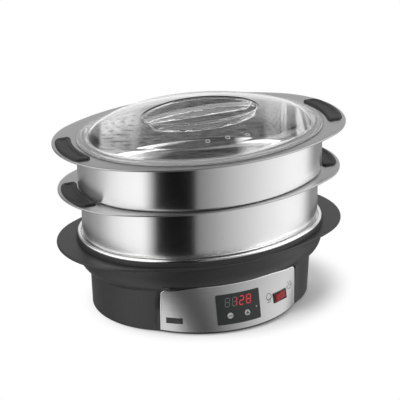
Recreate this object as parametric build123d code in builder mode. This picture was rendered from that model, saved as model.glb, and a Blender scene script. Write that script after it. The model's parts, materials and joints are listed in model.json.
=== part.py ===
from build123d import *
import os
from math import atan2, degrees, hypot, radians, sin, sqrt, tan

# Oval food steamer and egg cooker: two steel trays under a clear lid, on a heated water base.
# The origin is on the table under the middle of the oval. X runs along the length, -Y is the front, Z is up.
# All sizes are in millimetres.

# Heights above the table
foot_height = 2.0
base_plate_thickness = 3.0
base_plate_round = 2.0
base_rim_top = 98.0
tank_seat = 103.5
tank_rim_top = 106.5
lower_rim = 170.6
upper_rim = 233.5

# Base housing
rim_wing_reach = 29.0
rim_side_reach = 1.5
base_rim_thickness = 4.0
base_rim_round = 1.8
collar_margin = 0.5
collar_low = 53.0
collar_corner = 28.0
body_length = 294.0
body_width = 229.0
body_draft = 2.3
body_top = 66.0
body_wall = 2.6
base_opening_length = 320.0
base_opening_width = 230.0

# Front console: a ruled face between a tight arc at the bottom and a flat arc at the top
console_half_width = 101.0
console_low_proud = 11.7
console_high_sink = 6.6
console_side_tuck = 2.4
console_top = 64.0
console_depth = 54.5
visor_height = 4.0
visor_flare = 9.0
visor_inset = 9.0

# Fascia plate and what sits in it
fascia_thickness = 1.0
fascia_margin = 6.0
fascia_edge_gap = 0.4
fascia_corner = 7.0
window_width = 61.0
window_height = 38.0
window_middle_x = 1.0
window_middle_z = 32.0
window_corner = 1.5
window_proud = 0.2
window_gap = 0.15
window_ledge = 2.0
button_radius = 3.85
button_spacing = 24.0
button_height = 23.7
button_proud = 0.7
button_gap = 0.3
button_travel = 0.8
button_collar = 1.4
button_collar_thickness = 1.2
button_stem_radius = 1.8

# Rocker switch, in its own sloping place on the fascia
rocker_x = 65.5
rocker_z = 30.0
rocker_length = 20.6
rocker_width = 9.2
rocker_gap = 0.4
rocker_case_wall = 0.8
rocker_case_depth = 17.0
rocker_bezel = 0.7
rocker_bezel_thickness = 0.8
rocker_seat_gap = 0.1
rocker_pivot_depth = 4.5
rocker_pin_radius = 1.2
rocker_pin_gap = 0.08
rocker_tilt = 8.0
rocker_crest = 1.6
rocker_depth = 6.5

# Boards behind the fascia
board_depth = 14.0
board_width = 78.0
board_height = 42.0
board_thickness = 1.6
board_post_radius = 3.0
board_post_inset = 4.0
board_screw_radius = 1.2
board_screw_head = 2.4
board_screw_head_height = 1.6
board_screw_length = 6.0
digit_block_width = 46.0
digit_block_height = 17.0
digit_block_middle_z = 41.0
digit_block_gap = 3.4
key_switch_size = 6.0
key_plunger_radius = 1.6

# Water tank
tank_rim_end_gap = 0.5
tank_rim_side_gap = 3.5
tank_rim_wall = 2.4
tank_rim_bead = 5.0
tank_rim_round = 2.2
tank_sheet = 1.0
tank_length = 304.0
tank_width = 211.0
tank_floor = 72.0
tank_corner = 9.0

# Heater under the tank
heater_radius = 55.0
heater_thickness = 7.0
element_ring_radius = 38.0
element_radius = 3.5
element_groove_gap = 0.1
element_sweep = 310.0
element_leg = 15.0
stud_circle = 96.0
stud_count = 3
stud_radius = 2.0
stud_gap = 0.2
stud_length = 13.0
nut_across_flats = 7.0
nut_height = 3.2
thermostat_radius = 8.0
thermostat_height = 9.0
fuse_width = 8.0
fuse_length = 22.0
fuse_height = 6.0
fuse_offset = 22.0

# Steel trays
sheet = 0.8
bowl_corner = 5.0
bowl_lip = 2.5
spigot_depth = 8.0
spigot_gap = 1.5
floor_ledge = 6.0
floor_thickness = 1.0
floor_gap = 0.3
floor_hole_radius = 3.0
floor_hole_sides = 6
floor_hole_pitch = 19.0
floor_hole_margin = 12.0
flange_sheet = 1.2
flange_bead_height = 2.4
flange_bead_width = 3.5
flange_bead_round = 1.0
upper_bowl_length = 329.0
upper_bowl_width = 235.0
upper_flange_width = 254.0
upper_mouth_length = 323.0
upper_mouth_width = 230.0
lower_bowl_length = 320.0
lower_bowl_width = 227.0
lower_flange_width = 240.0
lower_mouth_length = 313.0
lower_mouth_width = 219.0

# Grip pads on the ends of the flanges
grip_span = 80.0
grip_edge = 4.2
grip_width = 22.5
lower_grip_gap = 0.8
upper_grip_gap = 5.8
grip_height = 2.8
grip_corner = 5.0
grip_round = 1.2
grip_peg_radius = 2.5
grip_peg_spacing = 44.0
grip_peg_length = 3.0

# Lid
lid_length = 331.0
lid_width = 237.0
lid_sheet = 2.4
lid_step_inset = 5.5
lid_step_height = 1.3
lid_spigot_depth = 4.0
lid_spigot_wall = 2.4
lid_spigot_gap = 1.5
dome_inset = 14.0
dome_rise = 30.0
dome_round = 15.0
crown_length_radius = 525.0
crown_width_radius = 325.0
recess_length = 152.0
recess_width = 84.0
recess_depth = 15.0
recess_round = 4.0
grip_bar_width = 13.0
vent_radius = 2.0
vent_spacing = 27.5
vent_front = 84.0

# Underside
foot_radius = 9.0
foot_spacing_x = 190.0
foot_spacing_y = 124.0
foot_peg_radius = 3.0
foot_peg_length = 2.4
boss_radius = 5.0
boss_height = 24.0
boss_inset = 3.5
base_screw_radius = 1.6
base_screw_length = 14.0
base_screw_head = 3.2
base_screw_head_height = 1.6
base_screw_gap = 0.3
vent_slot_length = 40.0
vent_slot_width = 3.0
vent_slot_pitch = 9.0
vent_slot_count = 6
power_board_length = 80.0
power_board_width = 50.0
power_board_x = -60.0
power_board_y = 40.0
power_post_radius = 3.0
power_post_height = 6.0
power_post_inset = 5.0
transformer_length = 30.0
transformer_width = 26.0
transformer_height = 22.0
relay_length = 20.0
relay_width = 16.0
relay_height = 16.0

# Cord gland in the rear wall
gland_x = 0.0
gland_z = 22.0
gland_seat_radius = 11.0
gland_seat_proud = 1.6
gland_flange_radius = 9.0
gland_flange_thickness = 2.5
gland_neck_radius = 6.0
gland_cord_radius = 3.6
gland_inside = 6.0

os.makedirs("parts", exist_ok=True)


def oval_arcs(length, width):
    # Radii and centres of the four tangent arcs of an oval, the draughtsman's ellipse
    diagonal = hypot(length, width) / 2
    spread = diagonal * (length - width) / 2
    end_radius = (diagonal**2 - spread) / length
    side_radius = (diagonal**2 + spread) / width
    return end_radius, side_radius, length / 2 - end_radius, side_radius - width / 2


def oval_reach(length, width, grow, x):
    # Half width of a grown oval at a place along its length, on the side arc
    _, side_radius, _, side_y = oval_arcs(length, width)
    return sqrt((side_radius + grow) ** 2 - x**2) - side_y


def bow_radius(bow):
    # Radius of the arc that spans the console's width with this much bow
    return (console_half_width**2 + bow**2) / (2 * bow)


def oval(length, width, grow=0.0, mode=Mode.ADD):
    # Oval grown outwards by an even margin
    end_radius, side_radius, end_x, side_y = oval_arcs(length, width)
    turn = degrees(atan2(side_y, end_x))
    with BuildLine() as outline:
        CenterArc((end_x, 0), end_radius + grow, -turn, 2 * turn)
        CenterArc((0, -side_y), side_radius + grow, turn, 180 - 2 * turn)
        CenterArc((-end_x, 0), end_radius + grow, 180 - turn, 2 * turn)
        CenterArc((0, side_y), side_radius + grow, 180 + turn, 180 - 2 * turn)
    make_face(outline.edges(), mode=mode)


# The console's face is set out from the body: proud of it at the foot and sunk into it at the top
base_bottom = foot_height + base_plate_thickness
body_flare = (console_top - base_bottom) * tan(radians(body_draft))
console_back = body_width / 2 - console_depth
console_low_reach = body_width / 2 + console_low_proud
console_high_reach = body_width / 2 + body_flare - console_high_sink
console_low_side = oval_reach(body_length, body_width, 0.0, console_half_width) - console_side_tuck
console_high_side = oval_reach(body_length, body_width, body_flare, console_half_width) - console_side_tuck
console_low_radius = bow_radius(console_low_reach - console_low_side)
console_high_radius = bow_radius(console_high_reach - console_high_side)
fascia_half_width = console_half_width - fascia_margin
visor_half_width = fascia_half_width - visor_inset
fascia_low = base_bottom + fascia_edge_gap
fascia_high = console_top - fascia_edge_gap

# The tank's rim stands round the lower bowl, the collar under that rim, and the base's wings beyond the collar
tank_rim_length = lower_bowl_length + 2 * (tank_rim_bead + tank_rim_end_gap)
tank_rim_width = lower_bowl_width + 2 * (tank_rim_bead + tank_rim_side_gap)
collar_length = tank_rim_length + 2 * collar_margin
collar_width = tank_rim_width + 2 * collar_margin
base_rim_length = collar_length + 2 * rim_wing_reach
base_rim_width = collar_width + 2 * rim_side_reach

# The flanges reach far enough for the grips to clear the bowl or the lid that stands between them
grip_reach = grip_edge + grip_width
lower_flange_length = upper_bowl_length + 2 * (grip_reach + lower_grip_gap)
upper_flange_length = lid_length + 2 * (grip_reach + upper_grip_gap)

# The screw bosses stand inside the body's wall on its diagonals
boss_spacing_x = sqrt(2) * (body_length / 2 - body_wall - boss_inset)
boss_spacing_y = sqrt(2) * (body_width / 2 - body_wall - boss_inset)


def oval_block(length, width, grow, low, high, corner=0.0):
    # Upright oval block whose lower edge is rounded by corner
    with BuildPart() as block:
        with BuildSketch(Plane.XY.offset(low)):
            oval(length, width, grow)
        extrude(amount=high - low)
        if corner > 0:
            fillet(block.edges().group_by(Axis.Z)[0], radius=corner)
    return block.part


def drafted_body(grow):
    # Oval body that widens slowly from its foot to its top
    with BuildPart() as body:
        with BuildSketch(Plane.XY.offset(base_bottom)):
            oval(body_length, body_width, grow)
        extrude(amount=body_top - base_bottom, taper=-body_draft)
    return body.part


def console_section(height, reach, radius):
    # Half-moon section of the console: an arc in front and a straight back inside the body
    side = reach - radius + sqrt(radius**2 - console_half_width**2)
    with BuildSketch(Plane.XY.offset(height)) as section:
        with BuildLine():
            ThreePointArc((-console_half_width, -side), (0, -reach), (console_half_width, -side))
            Polyline(
                (console_half_width, -side),
                (console_half_width, -console_back),
                (-console_half_width, -console_back),
                (-console_half_width, -side),
            )
        make_face()
    return section.sketch


def console_core(grow, low, high):
    # Console body between two heights, grown outwards from the face that carries the fascia
    sections = []
    for height in (low, high):
        share = (height - base_bottom) / (console_top - base_bottom)
        reach = console_low_reach + share * (console_high_reach - console_low_reach)
        radius = console_low_radius + share * (console_high_radius - console_low_radius)
        sections.append(console_section(height, reach + grow, radius + grow))
    with BuildPart() as core:
        loft(sections=sections, ruled=True)
    return core.part


def front_block(width, low, high, middle=0.0, corner=0.0, rounded="top"):
    # Block drawn on the front elevation and carried from the console's back to well before its face
    with BuildPart() as block:
        with BuildSketch(Plane.XZ.offset(console_back)):
            with Locations((middle, (low + high) / 2)):
                Rectangle(width, high - low)
        extrude(amount=console_low_reach)
        upright = block.edges().filter_by(Axis.Y)
        if rounded == "top":
            upright = upright.group_by(Axis.Z)[-1]
        if corner > 0:
            fillet(upright, radius=corner)
    return block.part


# The console's face: a thick layer of it is cut to make the fascia and the window
console_full = console_core(0.0, base_bottom, console_top)
fascia_layer = console_core(fascia_thickness, base_bottom, console_top)
window_layer = console_core(fascia_thickness + window_proud, base_bottom, console_top)


def fascia_plane(x, z):
    # Plane on the fascia's outer face at a place given on the front elevation, with its normal outwards
    hits = fascia_layer.solids()[0].find_intersection_points(Axis((x, 0, z), (0, -1, 0)))
    point, normal = min(hits, key=lambda hit: hit[0].Y)
    along = Vector(0, 0, 1).cross(normal).normalized()
    return Plane(origin=point, x_dir=along, z_dir=normal)


middle_plane = fascia_plane(window_middle_x, window_middle_z)
minus_plane = fascia_plane(-button_spacing / 2, button_height)
plus_plane = fascia_plane(button_spacing / 2, button_height)
rocker_plane = fascia_plane(rocker_x, rocker_z)
board_plane = middle_plane.offset(-board_depth)
board_post_x = board_width / 2 - board_post_inset
board_post_y = board_height / 2 - board_post_inset
rocker_case_length = rocker_length + 2 * (rocker_gap + rocker_case_wall)
rocker_case_width = rocker_width + 2 * (rocker_gap + rocker_case_wall)

# Base housing
base_rim_low = base_rim_top - base_rim_thickness
body_outside = drafted_body(0.0)
body_inside = drafted_body(-body_wall)
collar_outside = oval_block(collar_length, collar_width, 0.0, collar_low, base_rim_low, collar_corner)
collar_inside = oval_block(
    collar_length,
    collar_width,
    -body_wall,
    collar_low + body_wall,
    base_rim_low,
    collar_corner - body_wall,
)
base_opening = oval_block(
    base_opening_length, base_opening_width, 0.0, base_rim_low - base_rim_thickness, base_rim_top
)
console_inside = console_core(-body_wall, base_bottom, console_top - body_wall)


def visor(grow):
    # Sloping ceiling over the fascia, from the console's top edge out to the collar
    low = console_section(console_top, console_high_reach + grow, console_high_radius + grow)
    high = console_section(
        console_top + visor_height,
        console_high_reach + visor_flare + grow,
        console_high_radius + visor_flare + grow,
    )
    with BuildPart() as ceiling:
        loft(sections=[low, high], ruled=True)
    return ceiling.part


visor_outside = visor(0.0)
visor_inside = visor(-body_wall)
pocket_block = front_block(
    2 * (fascia_half_width + fascia_edge_gap), base_bottom, console_top, corner=fascia_corner
)
visor_block = front_block(2 * visor_half_width, console_top, console_top + visor_height)
window_hole = front_block(
    window_width - 2 * window_ledge,
    window_middle_z - window_height / 2 + window_ledge,
    window_middle_z + window_height / 2 - window_ledge,
    middle=window_middle_x,
)
gland_wall = body_width / 2 + (gland_z - base_bottom) * tan(radians(body_draft))
gland_seat = gland_wall + gland_seat_proud

with BuildPart() as visor_cut:
    add(visor_block)
    add(visor_outside, mode=Mode.SUBTRACT)

with BuildPart() as lintel:
    add(visor_outside)
    add(visor_inside, mode=Mode.SUBTRACT)
    add(front_block(2 * fascia_half_width, console_top, console_top + visor_height), mode=Mode.INTERSECT)

with BuildPart() as pocket_cut:
    add(pocket_block)
    add(console_full, mode=Mode.SUBTRACT)

with BuildPart() as base_rim:
    with BuildSketch(Plane.XY.offset(base_rim_low)):
        oval(base_rim_length, base_rim_width)
    extrude(amount=base_rim_thickness)
    fillet(base_rim.edges(), radius=base_rim_round)

with BuildPart() as base_housing:
    add(body_outside)
    add(collar_outside)
    add(console_full)
    add(base_rim.part)
    with BuildSketch(Plane.XZ.offset(-gland_seat)):
        with Locations((gland_x, gland_z)):
            Circle(gland_seat_radius)
    extrude(amount=gland_seat_proud + body_wall)
    add(pocket_cut.part, mode=Mode.SUBTRACT)
    add(visor_cut.part, mode=Mode.SUBTRACT)
    add(body_inside, mode=Mode.SUBTRACT)
    add(collar_inside, mode=Mode.SUBTRACT)
    add(base_opening, mode=Mode.SUBTRACT)
    add(console_inside, mode=Mode.SUBTRACT)
    add(lintel.part)
    add(window_hole, mode=Mode.SUBTRACT)
    # Bosses for the screws of the base plate, standing against the wall
    with BuildSketch(Plane.XY.offset(base_bottom)):
        with GridLocations(boss_spacing_x, boss_spacing_y, 2, 2):
            Circle(boss_radius)
    extrude(amount=boss_height)
    with BuildSketch(Plane.XY.offset(base_bottom)):
        with GridLocations(boss_spacing_x, boss_spacing_y, 2, 2):
            Circle(base_screw_radius)
    extrude(amount=base_screw_length, mode=Mode.SUBTRACT)
    # Posts that carry the control board
    with BuildSketch(board_plane):
        with GridLocations(2 * board_post_x, 2 * board_post_y, 2, 2):
            Circle(board_post_radius)
    extrude(amount=board_depth - fascia_thickness - 2 * body_wall)
    with BuildSketch(board_plane):
        with GridLocations(2 * board_post_x, 2 * board_post_y, 2, 2):
            Circle(board_screw_radius)
    extrude(amount=board_screw_length - board_thickness, mode=Mode.SUBTRACT)
    # Way through for the rocker switch and the cord gland
    with BuildSketch(rocker_plane):
        Rectangle(rocker_case_length + 2 * rocker_gap, rocker_case_width + 2 * rocker_gap)
    extrude(amount=-rocker_case_depth, mode=Mode.SUBTRACT)
    with BuildSketch(Plane.XZ.offset(-gland_seat)):
        with Locations((gland_x, gland_z)):
            Circle(gland_neck_radius)
    extrude(amount=gland_seat_proud + 4 * body_wall, mode=Mode.SUBTRACT)
base_housing.part.label = "base_housing"
export_step(base_housing.part, "parts/base_housing.step")

# Fascia plate, with the openings for the window and the rocker
with BuildPart() as fascia_plate:
    add(fascia_layer)
    add(console_full, mode=Mode.SUBTRACT)
    add(
        front_block(2 * fascia_half_width, fascia_low, fascia_high, corner=fascia_corner),
        mode=Mode.INTERSECT,
    )
    add(
        front_block(
            window_width + 2 * window_gap,
            window_middle_z - window_height / 2 - window_gap,
            window_middle_z + window_height / 2 + window_gap,
            middle=window_middle_x,
            corner=window_corner + window_gap,
            rounded="all",
        ),
        mode=Mode.SUBTRACT,
    )
    with BuildSketch(rocker_plane.offset(fascia_thickness)):
        Rectangle(rocker_case_length + 2 * window_gap, rocker_case_width + 2 * window_gap)
    extrude(amount=-4 * fascia_thickness, mode=Mode.SUBTRACT)
fascia_plate.part.label = "fascia_plate"
export_step(fascia_plate.part, "parts/fascia_plate.step")

# Dark window over the digits, with the two button holes
with BuildPart() as display_window:
    add(window_layer)
    add(console_full, mode=Mode.SUBTRACT)
    add(
        front_block(
            window_width,
            window_middle_z - window_height / 2,
            window_middle_z + window_height / 2,
            middle=window_middle_x,
            corner=window_corner,
            rounded="all",
        ),
        mode=Mode.INTERSECT,
    )
    for plane in (minus_plane, plus_plane):
        with BuildSketch(plane.offset(2 * fascia_thickness)):
            Circle(button_radius + button_gap)
        extrude(amount=-6 * fascia_thickness, mode=Mode.SUBTRACT)
display_window.part.label = "display_window"
export_step(display_window.part, "parts/display_window.step")

# Push buttons: a cap through the window, a collar behind it and a stem down to the key switch
collar_face = fascia_thickness + button_gap + (button_radius + button_collar) ** 2 / (2 * console_low_radius)
stem_end = collar_face + button_collar_thickness + button_travel
for name, plane in (("minus_button", minus_plane), ("plus_button", plus_plane)):
    with BuildPart() as button:
        with BuildSketch(plane.offset(-collar_face)):
            Circle(button_radius)
        extrude(amount=collar_face + window_proud + button_proud)
        chamfer(button.faces().sort_by(Axis.Y)[0].edges(), length=button_proud / 2)
        with BuildSketch(plane.offset(-collar_face)):
            Circle(button_radius + button_collar)
        extrude(amount=-button_collar_thickness)
        with BuildSketch(plane.offset(-collar_face)):
            Circle(button_stem_radius)
        extrude(amount=-(stem_end - collar_face))
    button.part.label = name
    export_step(button.part, f"parts/{name}.step")

# Control board on its posts, with its screws
with BuildPart() as control_board:
    with BuildSketch(board_plane):
        Rectangle(board_width, board_height)
        with GridLocations(2 * board_post_x, 2 * board_post_y, 2, 2):
            Circle(board_screw_radius, mode=Mode.SUBTRACT)
    extrude(amount=-board_thickness)
control_board.part.label = "control_board"
export_step(control_board.part, "parts/control_board.step")

with BuildPart() as board_screws:
    with BuildSketch(board_plane.offset(-board_thickness)):
        with GridLocations(2 * board_post_x, 2 * board_post_y, 2, 2):
            Circle(board_screw_head)
    extrude(amount=-board_screw_head_height)
    with BuildSketch(board_plane.offset(-board_thickness)):
        with GridLocations(2 * board_post_x, 2 * board_post_y, 2, 2):
            Circle(board_screw_radius)
    extrude(amount=board_screw_length)
board_screws.part.label = "board_screws"
export_step(board_screws.part, "parts/board_screws.step")

# Four-digit display block standing on the board behind the window
digit_place = board_plane.to_local_coords(fascia_plane(window_middle_x, digit_block_middle_z).origin)
with BuildPart() as digit_display:
    with BuildSketch(board_plane):
        with Locations((digit_place.X, digit_place.Y)):
            Rectangle(digit_block_width, digit_block_height)
    extrude(amount=board_depth - digit_block_gap - fascia_thickness)
digit_display.part.label = "digit_display"
export_step(digit_display.part, "parts/digit_display.step")

# Key switches on the board, one under each button's stem
with BuildPart() as key_switches:
    for plane in (minus_plane, plus_plane):
        foot = board_plane.to_local_coords(plane.offset(-board_depth).origin)
        with BuildSketch(board_plane):
            with Locations((foot.X, foot.Y)):
                Rectangle(key_switch_size, key_switch_size)
        extrude(amount=board_depth - stem_end - 2 * button_travel - board_thickness)
        with BuildSketch(plane.offset(-stem_end - button_travel - button_gap)):
            Circle(key_plunger_radius)
        extrude(amount=-2 * button_travel - board_thickness)
key_switches.part.label = "key_switches"
export_step(key_switches.part, "parts/key_switches.step")

# Rocker switch: a case let into the fascia, a paddle that tips in it and the pin it turns on
pivot_plane = rocker_plane.offset(-rocker_pivot_depth)
pin_plane = Plane(pivot_plane.origin, x_dir=pivot_plane.x_dir, z_dir=pivot_plane.y_dir)
pin_length = rocker_case_width
with BuildPart() as rocker_case:
    with BuildSketch(rocker_plane.offset(rocker_seat_gap)):
        Rectangle(rocker_case_length, rocker_case_width)
    extrude(amount=-rocker_case_depth)
    with BuildSketch(rocker_plane.offset(rocker_seat_gap)):
        Rectangle(rocker_case_length + 2 * rocker_bezel, rocker_case_width + 2 * rocker_bezel)
    extrude(amount=rocker_bezel_thickness)
    with BuildSketch(rocker_plane.offset(rocker_seat_gap + rocker_bezel_thickness)):
        Rectangle(rocker_length + 2 * rocker_gap, rocker_width + 2 * rocker_gap)
    extrude(amount=-(rocker_bezel_thickness + rocker_pivot_depth + rocker_depth), mode=Mode.SUBTRACT)
    with BuildSketch(pin_plane):
        Circle(rocker_pin_radius)
    extrude(amount=pin_length / 2, both=True, mode=Mode.SUBTRACT)
rocker_case.part.label = "rocker_case"
export_step(rocker_case.part, "parts/rocker_case.step")

with BuildPart() as rocker_pin:
    with BuildSketch(pin_plane):
        Circle(rocker_pin_radius)
    extrude(amount=pin_length / 2, both=True)
rocker_pin.part.label = "rocker_pin"
export_step(rocker_pin.part, "parts/rocker_pin.step")

# The paddle stands tipped to its right-hand stop: its profile is drawn square and turned about the pin
paddle_plane = pin_plane * Rot(0, 0, rocker_tilt)
paddle_half = rocker_length / 2
paddle_top = rocker_pivot_depth + rocker_bezel_thickness
paddle_shoulder = paddle_half - (paddle_top + rocker_crest) * sin(radians(rocker_tilt))
paddle_dip = paddle_shoulder * sin(radians(rocker_tilt))
with BuildPart() as rocker_paddle:
    with BuildSketch(paddle_plane) as paddle_profile:
        with BuildLine():
            Polyline(
                (-paddle_shoulder, -paddle_top - rocker_crest),
                (0, -paddle_top - rocker_crest + paddle_dip),
                (paddle_shoulder, -paddle_top - rocker_crest),
                (paddle_half, -rocker_pivot_depth / 2),
                (rocker_depth / 2, rocker_depth / 2),
                (-rocker_depth / 2, rocker_depth / 2),
                (-paddle_half, -rocker_pivot_depth / 2),
                close=True,
            )
        make_face()
        Circle(rocker_pin_radius + rocker_pin_gap, mode=Mode.SUBTRACT)
    extrude(amount=rocker_width / 2, both=True)
rocker_paddle.part.label = "rocker_paddle"
export_step(rocker_paddle.part, "parts/rocker_paddle.step")

# Water tank: a rolled rim on the housing, a seat for the lower tray and a basin below it
with BuildPart() as tank_rim:
    with BuildSketch(Plane.XY.offset(base_rim_top)):
        oval(tank_rim_length, tank_rim_width)
    extrude(amount=tank_rim_top - base_rim_top)
    with BuildSketch(Plane.XY.offset(tank_rim_top)):
        oval(tank_rim_length, tank_rim_width, -tank_rim_bead)
    extrude(amount=tank_seat - tank_rim_top, mode=Mode.SUBTRACT)
    fillet(tank_rim.edges().group_by(Axis.Z)[-1], radius=tank_rim_round)

with BuildPart() as water_tank:
    add(tank_rim.part)
    add(
        oval_block(tank_rim_length, tank_rim_width, -tank_rim_wall, base_rim_top, tank_seat - tank_sheet),
        mode=Mode.SUBTRACT,
    )
    add(oval_block(tank_length, tank_width, tank_sheet, tank_floor, tank_seat, tank_corner))
    add(
        oval_block(
            tank_length, tank_width, 0.0, tank_floor + tank_sheet, tank_seat, tank_corner - tank_sheet
        ),
        mode=Mode.SUBTRACT,
    )
    with BuildSketch(Plane.XY.offset(tank_floor)):
        with PolarLocations(stud_circle / 2, stud_count):
            Circle(stud_radius)
    extrude(amount=-stud_length)
water_tank.part.label = "water_tank"
export_step(water_tank.part, "parts/water_tank.step")

# Heater plate clamped under the tank, with a groove for the sheathed element
element_level = tank_floor - heater_thickness
with BuildPart() as heater_plate:
    with BuildSketch(Plane.XY.offset(tank_floor)):
        Circle(heater_radius)
        with PolarLocations(stud_circle / 2, stud_count):
            Circle(stud_radius + stud_gap, mode=Mode.SUBTRACT)
    extrude(amount=-heater_thickness)
    with BuildSketch(Plane.XY.offset(element_level)):
        Circle(element_ring_radius + element_radius + element_groove_gap)
        Circle(element_ring_radius - element_radius - element_groove_gap, mode=Mode.SUBTRACT)
    extrude(amount=element_radius + element_groove_gap, mode=Mode.SUBTRACT)
heater_plate.part.label = "heater_plate"
export_step(heater_plate.part, "parts/heater_plate.step")

with BuildPart() as heating_element:
    with BuildSketch(Plane.XZ):
        with Locations((element_ring_radius, element_level)):
            Circle(element_radius)
    revolve(axis=Axis.Z, revolution_arc=element_sweep)
    with BuildSketch(Plane.XY.offset(element_level)):
        with PolarLocations(element_ring_radius, 2, angular_range=element_sweep, endpoint=True):
            Circle(element_radius)
    extrude(amount=-element_leg)
heating_element.part.label = "heating_element"
export_step(heating_element.part, "parts/heating_element.step")

with BuildPart() as heater_nuts:
    with BuildSketch(Plane.XY.offset(element_level)):
        with PolarLocations(stud_circle / 2, stud_count):
            RegularPolygon(nut_across_flats / 2, 6, major_radius=False)
            Circle(stud_radius, mode=Mode.SUBTRACT)
    extrude(amount=-nut_height)
heater_nuts.part.label = "heater_nuts"
export_step(heater_nuts.part, "parts/heater_nuts.step")

with BuildPart() as thermostat:
    with BuildSketch(Plane.XY.offset(element_level)):
        Circle(thermostat_radius)
    extrude(amount=-thermostat_height)
thermostat.part.label = "thermostat"
export_step(thermostat.part, "parts/thermostat.step")

with BuildPart() as thermal_fuse:
    with BuildSketch(Plane.XY.offset(element_level)):
        with Locations((0, fuse_offset)):
            Rectangle(fuse_length, fuse_width)
    extrude(amount=-fuse_height)
    fillet(thermal_fuse.faces().sort_by(Axis.Z)[0].edges(), radius=fuse_width / 4)
thermal_fuse.part.label = "thermal_fuse"
export_step(thermal_fuse.part, "parts/thermal_fuse.step")

# Base plate with its vent slots, power board posts, feet and screws
power_post_x = power_board_length - 2 * power_post_inset
power_post_y = power_board_width - 2 * power_post_inset
with BuildPart() as console_foot:
    extrude(console_section(foot_height, console_low_reach, console_low_radius), amount=base_plate_thickness)
    fillet(console_foot.edges().group_by(Axis.Z)[0].sort_by(Axis.Y)[0], radius=base_plate_round)

with BuildPart() as base_plate:
    add(oval_block(body_length, body_width, 0.0, foot_height, base_bottom, base_plate_round))
    add(console_foot.part)
    with BuildSketch(Plane.XY.offset(foot_height)):
        with GridLocations(0, vent_slot_pitch, 1, vent_slot_count):
            SlotOverall(vent_slot_length, vent_slot_width)
        with GridLocations(foot_spacing_x, foot_spacing_y, 2, 2):
            Circle(foot_peg_radius)
    extrude(amount=base_plate_thickness, mode=Mode.SUBTRACT)
    with BuildSketch(Plane.XY.offset(base_bottom)):
        with Locations((power_board_x, power_board_y)):
            with GridLocations(power_post_x, power_post_y, 2, 2):
                Circle(power_post_radius)
    extrude(amount=power_post_height)
    with Locations(Plane.XY.offset(foot_height).rotated((180, 0, 0))):
        with GridLocations(boss_spacing_x, boss_spacing_y, 2, 2):
            CounterBoreHole(
                base_screw_radius + base_screw_gap,
                base_screw_head + base_screw_gap,
                base_screw_head_height + base_screw_gap,
            )
base_plate.part.label = "base_plate"
export_step(base_plate.part, "parts/base_plate.step")

with BuildPart() as base_screws:
    with BuildSketch(Plane.XY.offset(foot_height + base_screw_gap)):
        with GridLocations(boss_spacing_x, boss_spacing_y, 2, 2):
            Circle(base_screw_head)
    extrude(amount=base_screw_head_height)
    with BuildSketch(Plane.XY.offset(foot_height + base_screw_gap)):
        with GridLocations(boss_spacing_x, boss_spacing_y, 2, 2):
            Circle(base_screw_radius)
    extrude(amount=base_screw_length)
base_screws.part.label = "base_screws"
export_step(base_screws.part, "parts/base_screws.step")

foot_number = 0
for place in GridLocations(foot_spacing_x, foot_spacing_y, 2, 2):
    foot_number += 1
    with BuildPart() as foot:
        with BuildSketch(Plane.XY):
            with Locations(place.position):
                Circle(foot_radius)
        extrude(amount=foot_height)
        chamfer(foot.edges().group_by(Axis.Z)[0], length=foot_height / 4)
        with BuildSketch(Plane.XY.offset(foot_height)):
            with Locations(place.position):
                Circle(foot_peg_radius)
        extrude(amount=foot_peg_length)
    foot.part.label = f"foot_{foot_number}"
    export_step(foot.part, f"parts/foot_{foot_number}.step")

# Power board on the base plate's posts, with its transformer and relay
power_level = base_bottom + power_post_height
with BuildPart() as power_board:
    with BuildSketch(Plane.XY.offset(power_level)):
        with Locations((power_board_x, power_board_y)):
            Rectangle(power_board_length, power_board_width)
    extrude(amount=board_thickness)
power_board.part.label = "power_board"
export_step(power_board.part, "parts/power_board.step")

with BuildPart() as transformer:
    with BuildSketch(Plane.XY.offset(power_level + board_thickness)):
        with Locations((power_board_x - power_board_length / 4, power_board_y)):
            Rectangle(transformer_length, transformer_width)
    extrude(amount=transformer_height)
    fillet(transformer.edges().filter_by(Axis.Z), radius=transformer_width / 10)
transformer.part.label = "transformer"
export_step(transformer.part, "parts/transformer.step")

with BuildPart() as relay:
    with BuildSketch(Plane.XY.offset(power_level + board_thickness)):
        with Locations((power_board_x + power_board_length / 4, power_board_y)):
            Rectangle(relay_length, relay_width)
    extrude(amount=relay_height)
relay.part.label = "relay"
export_step(relay.part, "parts/relay.step")

# Cord gland through the rear wall
gland_plane = Plane.XZ.offset(-gland_seat)
with BuildPart() as cord_gland:
    with BuildSketch(gland_plane):
        with Locations((gland_x, gland_z)):
            Circle(gland_flange_radius)
    extrude(amount=-gland_flange_thickness)
    chamfer(cord_gland.faces().sort_by(Axis.Y)[-1].edges(), length=gland_flange_thickness / 3)
    with BuildSketch(gland_plane):
        with Locations((gland_x, gland_z)):
            Circle(gland_neck_radius)
    extrude(amount=gland_seat_proud + body_wall + gland_inside)
    with BuildSketch(gland_plane.offset(-gland_flange_thickness)):
        with Locations((gland_x, gland_z)):
            Circle(gland_cord_radius)
    extrude(
        amount=gland_flange_thickness + gland_seat_proud + body_wall + gland_inside,
        mode=Mode.SUBTRACT,
    )
cord_gland.part.label = "cord_gland"
export_step(cord_gland.part, "parts/cord_gland.step")


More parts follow.
